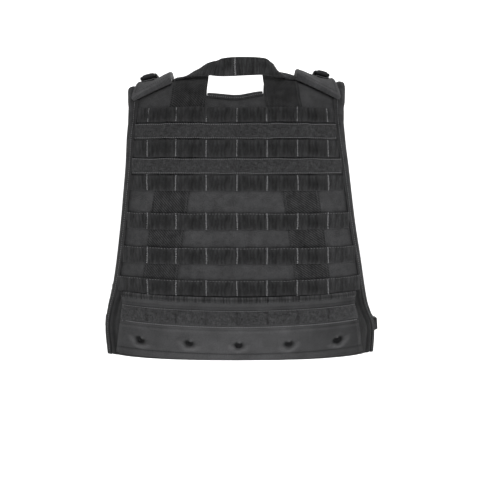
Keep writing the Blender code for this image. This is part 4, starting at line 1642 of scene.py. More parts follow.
@dataclass
class PouchWebbing:
    """Six rows of webbing tacked down in seven places, and the two loop strips sewn between them."""

    rows: tuple[BandPlan, ...] = (
        BandPlan("row_1", -0.0375, -0.0573, "webbing_row_1", sewn_top=False, sewn_foot=False),
        BandPlan("row_2", -0.0825, -0.1062, "webbing_row_2", sewn_top=False, sewn_foot=False),
        BandPlan("row_3", -0.1322, -0.1543, "webbing_row_3", sewn_top=False, sewn_foot=False),
        BandPlan("row_4", -0.1873, -0.2115, "webbing_row_4", sewn_foot=False),
        BandPlan("row_5", -0.2382, -0.2627, "webbing_row_5", sewn_foot=False),
        BandPlan("row_6", -0.2870, -0.3095, "webbing_row_6", 0.0030, sewn_foot=False),
    )
    strips: tuple[BandPlan, ...] = (
        BandPlan("upper_loop_strip", -0.0595, -0.0802, "loop_strip_upper"),
        BandPlan("lower_loop_strip", -0.1082, -0.1296, "loop_strip_lower"),
    )
    bow: float = 0.0011
    pinch: float = 0.0007
    tack_width: float = 0.0023
    seam_inset: float = 0.0011
    seam_pitch: float = 0.0046
    seams: Thread = field(default_factory=Thread)
    edges: Thread = field(default_factory=lambda: Thread(0.0026, 0.0014))
    tacks: Thread = field(default_factory=lambda: Thread(0.0030, 0.0009))

    def build_row(self, number: int, plan: BandPlan) -> None:
        """Build one row with its bowed bays, then tack it.

        Args:
            number: Its number from the top.
            plan: Where it lies.
        """
        patch = plan.patch(9)
        level = patch.level
        bay, middle, inside = bay_shape(patch.across)
        maker = np.random.default_rng(40 + number)
        fullness = maker.uniform(0.75, 1.3, 8)[bay]
        lean = maker.uniform(-0.35, 0.35, 8)[bay]
        share = np.linspace(0, 1, 10)[:, None]
        arch = (1 - np.abs(middle) ** 4) * fullness * (1 + lean * (share - 0.5))
        lift = self.bow * arch * (0.25 + 0.75 * inside)
        nearest = np.min(np.abs(patch.across[..., None] - np.array(TACKS)), axis=-1)
        held = bell(nearest, 0.0, 0.0016)
        lift = lift - self.pinch * held + 0.00012 * ripple(patch.across, level, 0.006, number)
        height = carrier(patch.across, level) + lift
        # Painted shade in the middle of each bowed bay; lighter beyond the outer tacks, at the tacks and
        # along the long edges.
        tone = 1.0 - 0.26 * inside * (1 - middle**4) * bell(share, 0.5, 0.33, 4)
        tone = tone + 0.10 * (1 - inside) + 0.25 * held * (share > 0.1) + 0.22 * np.abs(2 * share - 1) ** 6
        piece = laid(plan.name, patch, height, LAYERS.row, "pouch webbing", tone=tone)
        settle(piece, Slot.WEBBING, plan.node)
        patch.face_size()[::-1]
        face = height + LAYERS.row
        for sewn, row in ((plan.sewn_foot, 0), (plan.sewn_top, 9)):
            if sewn:
                points, out = surface_line(patch, face, row=row)
                inward = self.seam_inset if row == 0 else -self.seam_inset
                line = points + np.array([0.0, 0.0, inward])
                self.seams.along(line, out, pitch=self.seam_pitch, sink=-0.0001, wide=0.8)
        for k, place in enumerate(TACKS):
            tilt = maker.uniform(-0.0006, 0.0006)
            foot_turn = float(FORM.turn_at(place, plan.foot + 0.0004))
            top_turn = float(FORM.turn_at(place, plan.top + maker.uniform(-0.0002, 0.0011)))
            high = float(carrier(np.array(place), (plan.top + plan.foot) / 2)) + LAYERS.row - self.pinch
            ends = FORM.lay([place - tilt, place + tilt], [foot_turn, top_turn], high)
            out = FORM.outward(np.array([place]), np.array([(foot_turn + top_turn) / 2]))[0]
            self.tacks.bar_tack(ends[0], ends[1], out, self.tack_width, 100 * number + k)

    def build_strip(self, plan: BandPlan) -> None:
        """Build one loop strip with its uneven pile, sewn along both edges.

        Args:
            plan: Where it lies.
        """
        patch = plan.patch(12)
        level = patch.level
        height = carrier(patch.across, level)
        pile, thickness = pile_layer(patch, 31)
        tone = 0.92 + 0.10 * ripple(patch.across, level, 0.012, 33) - 0.12 * (1 - pile)
        piece = laid(plan.name, patch, height, thickness, "loop pile", tone=tone)
        settle(piece, Slot.LOOP, plan.node)
        patch.face_size()[::-1]
        for row, shift in ((0, 0.0009), (12, -0.0009)):
            points, out = surface_line(patch, height + LAYERS.loop * 0.75, row=row)
            self.edges.along(points + np.array([0.0, 0.0, shift]), out, pitch=0.0033, sink=-0.0004)

    def build(self) -> None:
        """Build rows, strips and their sewing."""
        for number, plan in enumerate(self.rows, 1):
            self.build_row(number, plan)
        for plan in self.strips:
            self.build_strip(plan)
        settle(self.seams.finish("row_stitching", "thread"), Slot.WEBBING)
        settle(self.edges.finish("loop_strip_stitching", "edge thread"), Slot.LOOP)
        settle(self.tacks.finish("row_bar_tacks", "pale thread"), Slot.WEBBING)


@dataclass
class ShoulderWebbings:
    """The two wide webbings from the closure flap up to the handle, sewn near both edges."""

    columns: int = 16
    steps: int = 90
    end_steps: int = 24
    end_lift: float = 0.0074
    lean_reach: float = 0.0158
    sewing: Thread = field(default_factory=lambda: Thread(0.0026, 0.0006))

    def build(self) -> None:
        """Build both webbings and their edge stitching."""
        for name, column in (("left", 1), ("right", 2)):
            self.webbing(name, column)
        settle(self.sewing.finish("shoulder_webbing_stitching", "dim thread"), Slot.WEBBING)

    def webbing(self, name: str, column: int) -> None:
        """Lay one webbing along its line.

        Args:
            name: Its side.
            column: Its column in the line's table.
        """
        levels = [row[0] for row in WEBBINGS.line]
        level = np.linspace(min(levels), max(levels), self.steps + 1)
        across = smooth_read(WEBBINGS.line, level, column)
        turn = FORM.turn_at(across, level)
        share = np.linspace(0, 1, self.end_steps + 1)[1:]
        last = max(levels)
        ends = [smooth_read(WEBBINGS.line, at, column) for at in (last, last - self.lean_reach)]
        lean = float(ends[0] - ends[1])
        across = np.concatenate([across, across[-1] + lean * share])
        turn = np.concatenate([turn, turn[-1] + (WEBBINGS.end_turn - turn[-1]) * share])
        run = np.gradient(FORM.point(across, turn), axis=0)
        out = FORM.outward(across, turn)
        side = np.cross(run, out)
        distances = np.linspace(-WEBBINGS.width / 2, WEBBINGS.width / 2, self.columns + 1)
        grid = [FORM.shift(across, turn, side, distance) for distance in distances]
        patch = Patch(np.stack([place[0] for place in grid], 1), np.stack([place[1] for place in grid], 1))
        neckward = 1 - ease(np.abs(patch.across), 0.036 if column == 2 else 0.046, 0.088)
        height = LAYERS.panel + LAYERS.sewn_gap + self.end_lift * neckward * ease(patch.turn, 72.0, 87.0)
        height = height + 0.00025 * ripple(patch.across, patch.level, 0.03, 51 + column)
        edge = np.abs(np.linspace(-1, 1, self.columns + 1)) ** 8
        fade = ripple(patch.across, patch.level, 0.028, 55 + column)
        upper = ease(patch.level, -0.05, -0.02)
        # Painted shade on the upper ends by the handle; lighter along the edges, and the ripple is uneven
        # tone.
        tone = 1.0 + 0.12 * fade * (0.4 + 0.6 * upper) + 0.12 * edge - 0.30 * upper
        thickness = LAYERS.wide_webbing
        piece = laid(f"wide_webbing_{name}", patch, height, thickness, "shoulder webbing", tone=tone)
        settle(piece, Slot.WEBBING, f"shoulder_webbing_{name}")
        for at in (1, self.columns - 1):
            points, way = surface_line(patch, height + thickness, column=at)
            self.sewing.along(points, way, pitch=0.0034)


@dataclass
class DragHandle:
    """A doubled webbing band behind the neck, sewn to the shoulder webbings at both ends."""

    left: Table = ((-0.0930, 82.0, -0.0012), (-0.0820, 81.0, -0.0010))
    right: Table = ((0.0815, 76.5, 0.0), (0.0900, 76.0, 0.0))
    seat_width: float = 0.0260
    stations: Table = (
        (-0.0740, -0.0300, 0.0200, 0.0262, 70.0),
        (-0.0625, -0.0350, 0.0232, 0.0262, 60.0),
        (-0.052, -0.0405, 0.0264, 0.0272, 46.0),
        (-0.040, -0.0470, 0.0294, 0.0284, 38.0),
        (-0.027, -0.0550, 0.0300, 0.0288, 22.0),
        (-0.004, -0.0590, 0.0310, 0.0285, 2.0),
        (0.020, -0.0590, 0.0315, 0.0275, 2.0),
        (0.038, -0.0560, 0.0312, 0.0260, 8.0),
        (0.0500, -0.0500, 0.0282, 0.0268, 34.0),
        (0.0610, -0.0435, 0.0240, 0.0268, 50.0),
        (0.0710, -0.0340, 0.0194, 0.0262, 66.0),
    )
    thickness: float = 0.0030
    parts: int = 130
    sewing: Thread = field(default_factory=lambda: Thread(0.0026, 0.00065))
    tack: Thread = field(default_factory=lambda: Thread(0.0030, 0.0009))

    def seat(self, across: float, turn: float, lift: float) -> Array:
        """Centre, face direction and width where the handle lies on a webbing.

        Args:
            across: Place across the body.
            turn: Degrees of turn up the body.
            lift: Height above the webbing.

        Returns:
            Centre, face direction and width in one row.
        """
        centre = FORM.lay(across, turn, LAYERS.webbing_top + lift + self.thickness / 2)
        out = FORM.outward(np.array([across]), np.array([turn]))[0]
        return np.concatenate([centre, out, [self.seat_width]])

    def stops(self) -> Array:
        """The handle's stations in order: centre, face direction and width in each row.

        Returns:
            The stations, one a row.
        """
        rows = [self.seat(*row) for row in self.left]
        for across, behind, height, width, lean in self.stations:
            tilt = math.radians(lean)
            rows.append(np.array([across, behind, height, 0.0, -math.cos(tilt), math.sin(tilt), width]))
        rows += [self.seat(*row) for row in self.right]
        return np.array(rows)

    def smooth_stops(self) -> Array:
        """Stations spread evenly along the handle on a smooth curve.

        Returns:
            The stations, one a row.
        """
        stops = self.stops()
        along = lengths_along(stops[:, :3])
        at = np.linspace(0, along[-1], self.parts + 1)
        columns = []
        for k in range(stops.shape[1]):
            table = tuple(zip(along.tolist(), stops[:, k].tolist()))
            columns.append(smooth_read(table, at, 1))
        return np.stack(columns, -1)

    def build(self) -> None:
        """Build the band, its edge stitching and its middle bar tack."""
        smooth = self.smooth_stops()
        centre, face, width = smooth[:, :3], smooth[:, 3:6], smooth[:, 6]
        run = unit(np.gradient(centre, axis=0))
        out = unit(face - run * (face * run).sum(-1, keepdims=True))
        up = np.cross(out, run)
        count = 11
        spread = np.linspace(-1, 1, count)
        puff = self.thickness / 2 * (1 - 0.35 * np.abs(spread) ** 6)
        groove = 0.0004 * bell(np.abs(spread), 0.82, 0.06)
        ring_side = np.concatenate([spread, spread[::-1]])
        ring_away = np.concatenate([puff - groove, -(puff - groove)[::-1]])
        at = lengths_along(centre)
        wave = 0.0005 * np.sin(at / 0.017)[:, None] * ring_side[None, :] ** 2
        loops = (
            centre[:, None]
            + up[:, None] * (ring_side[None, :, None] * width[:, None, None] / 2)
            + out[:, None] * (ring_away[None, :] + wave)[..., None]
        )
        half = np.concatenate([spread, spread[::-1] + 2.2]) * self.seat_width / 2
        uv = np.stack(np.broadcast_arrays(at[:, None], half[None, :]), -1)
        tone = np.broadcast_to(1.0 + 0.15 * np.abs(ring_side) ** 6, loops.shape[:2]).copy()
        dark = bell(ring_side, 0.1, 0.35)
        tone = tone * (1 - 0.22 * dark)
        piece = swept("drag_handle_band", loops, uv, "handle webbing", tone=tone)
        soften(piece, 0.0003)
        settle(piece, Slot.WEBBING, "drag_handle")
        for k in (1, count - 2):
            self.sewing.along(loops[2:-2, k], out[2:-2], pitch=0.0032)
        middle = int(np.argmin(np.abs(centre[:, 0] + 0.004)))
        reach = up[middle] * (width[middle] / 2 * 0.92)
        skin = centre[middle] + out[middle] * self.thickness / 2
        self.tack.bar_tack(skin - reach, skin + reach, out[middle], 0.0030, 77)
        for end in (4, -5):
            skin = centre[end] + out[end] * self.thickness / 2
            for step in (0.0, 0.006):
                base = skin + run[end] * step * (1 if end > 0 else -1)
                reach = up[end] * 0.010
                self.sewing.along(np.stack([base - reach, base + reach]), np.stack([out[end]] * 2))
        settle(self.sewing.finish("handle_stitching", "dark thread"), Slot.WEBBING)
        settle(self.tack.finish("handle_bar_tack", "pale thread"), Slot.WEBBING)


CLOTH_STEPS = 20
CLOTH_SETTINGS = {
    "quality": 5,
    "mass": 0.3,
    "tension_stiffness": 12.0,
    "compression_stiffness": 12.0,
    "bending_stiffness": 1.5,
}


def swell(piece: bpy.types.Object, held: Array, cap: float, pressure: float = 4.0) -> None:
    """Fill a sewn cover with Blender's cloth simulation, with its seams held.

    Args:
        piece: The cover, as a closed mesh.
        held: 1 for points that stay, 0 for free ones.
        cap: How far a point may move.
        pressure: Pressure inside the cover.
    """
    start = read_points(piece)
    group = piece.vertex_groups.new(name="held")
    for weight in np.unique(held):
        group.add(np.nonzero(held == weight)[0].tolist(), float(weight), "REPLACE")
    cloth = piece.modifiers.new("filling", "CLOTH")
    for key, value in CLOTH_SETTINGS.items():
        setattr(cloth.settings, key, value)
    cloth.settings.use_pressure = True
    cloth.settings.uniform_pressure_force = pressure
    cloth.settings.vertex_group_mass = "held"
    cloth.settings.effector_weights.gravity = 0.0
    cloth.collision_settings.use_collision = False
    cloth.point_cache.frame_start, cloth.point_cache.frame_end = 1, CLOTH_STEPS
    for step in range(1, CLOTH_STEPS + 1):
        bpy.context.scene.frame_set(step)
    evaluated = piece.evaluated_get(bpy.context.evaluated_depsgraph_get())
    moved = read_points(evaluated)
    piece.modifiers.remove(cloth)
    piece.vertex_groups.remove(group)
    bpy.context.scene.frame_set(1)
    step = moved - start
    length = np.linalg.norm(step, axis=-1, keepdims=True)
    step *= np.minimum(1.0, cap / np.maximum(length, 1e-9))
    move_points(piece, start + step)


@dataclass(frozen=True)
class PadPlan:
    """One shoulder pad: its two edges, where its back end crosses them, and its buckle."""

    side: str
    outer: float
    inner: float
    outer_level: float
    inner_level: float
    buckle_across: float
    buckle_turn: float = 97.0


@dataclass
class ShoulderPads:
    """Padded shoulder straps coming over from the front, sewn round the edge."""

    plans: tuple[PadPlan, ...] = (
        PadPlan("left", -0.1536, -0.0970, -0.0290, -0.0040, -0.1330),
        PadPlan("right", 0.1500, 0.0875, -0.0270, 0.0010, 0.1275),
    )
    thickness: float = 0.0100
    edge_share: float = 0.95
    edge_width: float = 0.025
    fold_height: float = 0.0028
    fold_width: float = 0.016
    front_level: float = -0.0700
    seam_inset: float = 0.0055
    swell_cap: float = 0.0022
    across_parts: int = 26
    along_parts: int = 66
    sewing: Thread = field(default_factory=lambda: Thread(0.0026, 0.0007))

    def build(self) -> None:
        """Build both pads and their stitching."""
        for plan in self.plans:
            self.pad(plan)
        settle(self.sewing.finish("pad_stitching", "dark thread"), Slot.PAD)

    def pad(self, plan: PadPlan) -> None:
        """Build one pad, swell it between its seams and sew it.

        Args:
            plan: Where it lies.
        """
        across = np.sort(np.linspace(plan.inner, plan.outer, self.across_parts + 1))
        share = (across - plan.inner) / (plan.outer - plan.inner)
        start = FORM.turn_at(across, plan.inner_level + (plan.outer_level - plan.inner_level) * share)
        end = FORM.turn_at(across, self.front_level, front=True)
        along = np.linspace(0, 1, self.along_parts + 1)[:, None]
        turn = start + (end - start) * along
        grid = np.broadcast_to(across, turn.shape)
        patch = Patch(grid, turn)
        inset = np.minimum(np.abs(across - plan.outer) / self.edge_width, 1.0)
        fullness = self.edge_share + (1 - self.edge_share) * np.sin(inset * math.pi / 2)
        fold = np.maximum(1 - np.abs(across - plan.inner) / self.fold_width, 0.0)
        u, v = patch.uv[..., 0], patch.uv[..., 1]
        border = np.minimum(np.minimum(u - u[:, :1], u[:, -1:] - u), np.minimum(v - v[:1], v[-1:] - v))
        seam = bell(border, self.seam_inset, 0.0013)
        rolled = 1 - ease(border, 0.0, 0.0030)
        uneven = 0.0004 * ripple(grid, turn / 600, 0.03, 61) * ease(border, 0.004, 0.015)
        top = self.thickness * fullness + self.fold_height * fold + uneven
        top = top * (1 - 0.10 * rolled) - 0.0006 * seam
        lower = FORM.lay(grid, turn, LAYERS.pad_foot)
        upper = FORM.lay(grid, turn, LAYERS.pad_foot + top)
        # Painted shade at the pad's back end and in its seam groove; the ripple is uneven tone.
        back_end_shade = 1 - ease(v, 0.0008, 0.0035)
        tone = 1.0 - 0.12 * back_end_shade - 0.15 * seam + 0.05 * ripple(grid, turn / 500, 0.04, 62)
        name = f"shoulder_pad_{plan.side}_cover"
        piece = shell(name, lower, upper, patch.uv, "pad cloth", None, True, 0.0, tone)
        count = upper.shape[0] * upper.shape[1]
        held = np.zeros(len(piece.data.vertices))
        held[:count] = 1.0
        held[count:] = np.maximum(bell(border, self.seam_inset, 0.0016), border < 0.0016).ravel() > 0.5
        swell(piece, held, self.swell_cap)
        soften(piece, 0.0011, 3, 55.0)
        smooth_shade(piece, 55.0)
        settle(piece, Slot.PAD, f"shoulder_pad_{plan.side}")
        place = int(np.argmin(np.abs(v[:, len(across) // 2] - self.seam_inset)))
        columns = [int(np.argmin(np.abs(gap - self.seam_inset))) for gap in (u[0] - u[0, 0], u[0, -1] - u[0])]
        height = LAYERS.pad_foot + top
        points, out = surface_line(patch, height, row=place)
        self.sewing.along(points[columns[0] : columns[1] + 1], out[columns[0] : columns[1] + 1])
        for column in columns:
            points, out = surface_line(patch, height, column=column)
            self.sewing.along(points[place:-place], out[place:-place])


class Bench:
    """Edit-mode modelling of hard pieces: blocks that are inset, pierced and rounded, then joined."""

    def __init__(self) -> None:
        """Start with no blocks."""
        self.blocks: list[bpy.types.Object] = []

    def block(self, size: Sequence[float], centre: Sequence[float]) -> bpy.types.Object:
        """Add a block of this size about this centre, and open it for editing.

        Args:
            size: Its size.
            centre: Its centre.

        Returns:
            The block.
        """
        deselect()
        bpy.ops.mesh.primitive_cube_add(size=1.0)
        piece = bpy.context.object
        edit_all()
        bpy.ops.transform.resize(value=tuple(size), center_override=(0.0, 0.0, 0.0))
        bpy.ops.transform.translate(value=tuple(centre))
        self.blocks.append(piece)
        return piece

    def choose(self, piece: bpy.types.Object, *facing: Sequence[float]) -> Vector:
        """Select the outermost faces that look in any of these directions, and return their middle.

        Args:
            piece: The block.
            facing: The directions.

        Returns:
            The middle of the selected faces.
        """
        bpy.ops.object.mode_set(mode="OBJECT")
        for part in (piece.data.vertices, piece.data.edges, piece.data.polygons):
            part.foreach_set("select", [False] * len(part))
        for way in facing:
            way = Vector(way)
            faces = [face for face in piece.data.polygons if face.normal.dot(way) > 0.9]
            furthest = max(face.center.dot(way) for face in faces)
            for face in faces:
                face.select = face.center.dot(way) > furthest - 1e-5
        chosen = [face.center.copy() for face in piece.data.polygons if face.select]
        bpy.ops.object.mode_set(mode="EDIT")
        bpy.ops.mesh.select_mode(type="FACE")
        return sum(chosen, Vector()) / len(chosen)

    def recess(self, piece: bpy.types.Object, way: Sequence[float], border: float, depth: float) -> None:
        """Sink a panel into one side, leaving a border.

        Args:
            piece: The block.
            way: The direction that the side looks in.
            border: Width of the border.
            depth: How far the panel sinks.
        """
        self.choose(piece, way)
        bpy.ops.mesh.inset(thickness=border, depth=0.0)
        bpy.ops.mesh.inset(thickness=0.0004, depth=-depth)

    def pierce(self, piece: bpy.types.Object, border: float) -> None:
        """Open a slot through a block from top to bottom, leaving a border.

        Args:
            piece: The block.
            border: Width of the border.
        """
        self.choose(piece, (0, 0, 1), (0, 0, -1))
        bpy.ops.mesh.inset(thickness=border, depth=0.0)
        bpy.ops.mesh.bridge_edge_loops()

    def taper(self, piece: bpy.types.Object, way: Sequence[float], factor: Sequence[float]) -> None:
        """Narrow one side of a block about its own middle."""
        middle = self.choose(piece, way)
        bpy.ops.transform.resize(value=tuple(factor), center_override=middle[:])

    def join(self, name: str, rounding: float, cuts: Sequence[float]) -> bpy.types.Object:
        """Round every block, cut it across for bending, and join them.

        Args:
            name: Name of the joined piece.
            rounding: Width of the rounded edges.
            cuts: Places along Y where the blocks get an extra edge.

        Returns:
            The joined piece.
        """
        for piece in self.blocks:
            pick(piece)
            bpy.ops.object.mode_set(mode="EDIT")
            for cut in cuts:
                bpy.ops.mesh.select_all(action="SELECT")
                bpy.ops.mesh.bisect(plane_co=(0.0, cut, 0.0), plane_no=(0.0, 1.0, 0.0))
            bpy.ops.object.mode_set(mode="OBJECT")
            soften(piece, rounding, 3, 40.0)
        deselect()
        for piece in self.blocks:
            piece.select_set(True)
        bpy.context.view_layer.objects.active = self.blocks[0]
        if len(self.blocks) > 1:
            bpy.ops.object.join()
        whole = bpy.context.view_layer.objects.active
        whole.name = whole.data.name = name
        face_outwards(whole)
        smooth_shade(whole, 35.0)
        return whole


def finish_hard(piece: bpy.types.Object, finish: str, mapping: Callable[[Array], Array]) -> None:
    """Move a hard piece's points to their place and give it its finish.

    Args:
        piece: A piece modelled at the origin.
        finish: Name of its material.
        mapping: Gives each point its place.
    """
    move_points(piece, mapping(read_points(piece)))
    piece.data.materials.clear()
    piece.data.materials.append(bpy.data.materials[finish])


@dataclass
class ShoulderBuckles:
    """Fastened side-release buckles over the pads, with the narrow straps that they hold."""

    pads: ShoulderPads
    width: float = 0.0355
    length: float = 0.0400
    thickness: float = 0.0095
    strap_width: float = 0.0250
    strap_foot: float = -0.0660
    strap_back: float = 18.0
    strap_thickness: float = 0.0014
    fall: float = 0.0016
    sewing: Thread = field(default_factory=lambda: Thread(0.0026, 0.0006))

    def sink(self, plan: PadPlan, across: Array) -> Array:
        """How far the pad falls away towards its outer edge."""
        beyond = np.abs(across) - abs(plan.buckle_across) + self.width / 2
        return self.fall * np.clip(beyond, 0.0, None) / self.width

    def model(self, name: str) -> bpy.types.Object:
        """Model the buckle lying flat, its pronged half towards -Y.

        Args:
            name: Name of the piece.

        Returns:
            The buckle.
        """
        bench = Bench()
        wide, long, high = self.width, self.length / 2, self.thickness
        socket = bench.block((wide, long * 1.06, high * 0.88), (0, long * 0.44, high * 0.45))
        bench.taper(socket, (0, 1, 0), (0.84, 1.0, 0.62))
        bench.recess(socket, (0, 0, 1), 0.0042, 0.0009)
        bench.recess(socket, (1, 0, 0), 0.0022, 0.0026)
        bench.recess(socket, (-1, 0, 0), 0.0022, 0.0026)
        bench.recess(socket, (0, 1, 0), 0.0014, 0.0030)
        frame = bench.block((wide, long * 0.92, high * 0.66), (0, -long * 0.54, high * 0.44))
        bench.taper(frame, (0, -1, 0), (0.96, 1.0, 0.86))
        bench.pierce(frame, 0.0036)
        bar = bench.block((wide * 0.78, 0.0034, high * 0.40), (0, -long * 0.52, high * 0.50))
        bench.taper(bar, (0, 0, 1), (1.0, 0.6, 1.0))
        for side in (-1, 1):
            place = (side * (wide / 2 - 0.0028), -long * 0.02, high * 0.45)
            prong = bench.block((0.0042, long * 0.66, high * 0.44), place)
            bench.taper(prong, (0, 1, 0), (0.55, 1.0, 0.8))
        rib = bench.block((wide * 0.42, 0.0016, 0.0012), (0, long * 0.30, high * 0.88))
        bench.taper(rib, (0, 0, 1), (0.9, 0.5, 1.0))
        return bench.join(name, 0.0009, np.linspace(-0.9 * long, 0.9 * long, 9).tolist())

    def build(self) -> None:
        """Build buckles, straps and their sewing."""
        base = LAYERS.pad_foot + self.pads.thickness + 2 * LAYERS.seat + self.strap_thickness
        for plan in self.pads.plans:
            buckle = self.model(f"shoulder_buckle_{plan.side}_body")
            across = np.array(plan.buckle_across)
            turn = np.array(plan.buckle_turn)
            _, upward = FORM.slopes(across, turn)

            def bent(points: Array) -> Array:
                """Lay the flat buckle over the pad."""
                ways = np.broadcast_to(upward, points.shape)
                place, here = FORM.shift(across, turn, ways, points[:, 1])
                arch = 1.22 - 0.62 * np.abs(2 * points[:, 0] / self.width) ** 3
                place = place + points[:, 0]
                return FORM.lay(place, here, base - self.sink(plan, place) + points[:, 2] * arch)

            finish_hard(buckle, "moulded plastic", bent)
            settle(buckle, Slot.PLASTIC, f"shoulder_buckle_{plan.side}")
            self.fold(plan.side, bent)
            self.strap(plan)
        settle(self.sewing.finish("shoulder_strap_stitching", "thread"), Slot.WEBBING)

    def fold(self, side: str, bent: Callable[[Array], Array]) -> None:
        """Wrap the strap's sewn end round the buckle's outer bar.

        Args:
            side: Which shoulder.
            bent: Gives each point of the flat buckle its place.
        """
        x = np.linspace(-0.0122, 0.0122, 13)
        turn = np.radians(np.arange(0, 360, 24))
        y = -self.length / 2 * 0.92 + 0.0036 * np.cos(turn)
        z = self.thickness * 0.42 + 0.0031 * np.sin(turn)
        loops = np.stack(np.broadcast_arrays(x[:, None], y, z), -1)
        uv = np.stack(np.broadcast_arrays(x[:, None], turn * 0.0035), -1)
        placed = bent(loops.reshape(-1, 3)).reshape(loops.shape)
        piece = swept(f"shoulder_strap_{side}_fold", placed, uv, "narrow webbing")
        settle(piece, Slot.WEBBING)

    def strap(self, plan: PadPlan) -> None:
        """Lay the strap under its buckle and down the front of the pad.

        Args:
            plan: The pad that it lies on.
        """
        base = LAYERS.pad_foot + self.pads.thickness + LAYERS.seat
        end = float(FORM.turn_at(plan.buckle_across, self.strap_foot, front=True))
        half = self.strap_width / 2
        across = plan.buckle_across + np.linspace(-half, half, 11)
        turn = np.linspace(plan.buckle_turn - self.strap_back, end, 81)
        patch = Patch(*np.broadcast_arrays(across[None, :], turn[:, None]))
        uneven = 0.00015 * ripple(patch.across, turn[:, None] / 500, 0.02, 71)
        height = base - self.sink(plan, patch.across) + uneven
        name = f"shoulder_strap_{plan.side}_webbing"
        piece = laid(name, patch, height, self.strap_thickness, "narrow webbing")
        settle(piece, Slot.WEBBING, f"shoulder_strap_{plan.side}")
        face = height + self.strap_thickness
        for row in (2, 6, -4, -8):
            points, out = surface_line(patch, face, row=row)
            self.sewing.along(points[1:-1], out[1:-1], pitch=0.0030)


# Radius and height of each step from a snap's outer edge to its middle.
SNAP_PROFILE = (
    (0.0052, 0.0),
    (0.0052, 0.0007),
    (0.0047, 0.0012),
    (0.0040, 0.0011),
    (0.0037, 0.0005),
    (0.0026, 0.0004),
    (0.0022, 0.0010),
    (0.0014, 0.0012),
    (0.0004, 0.0012),
)


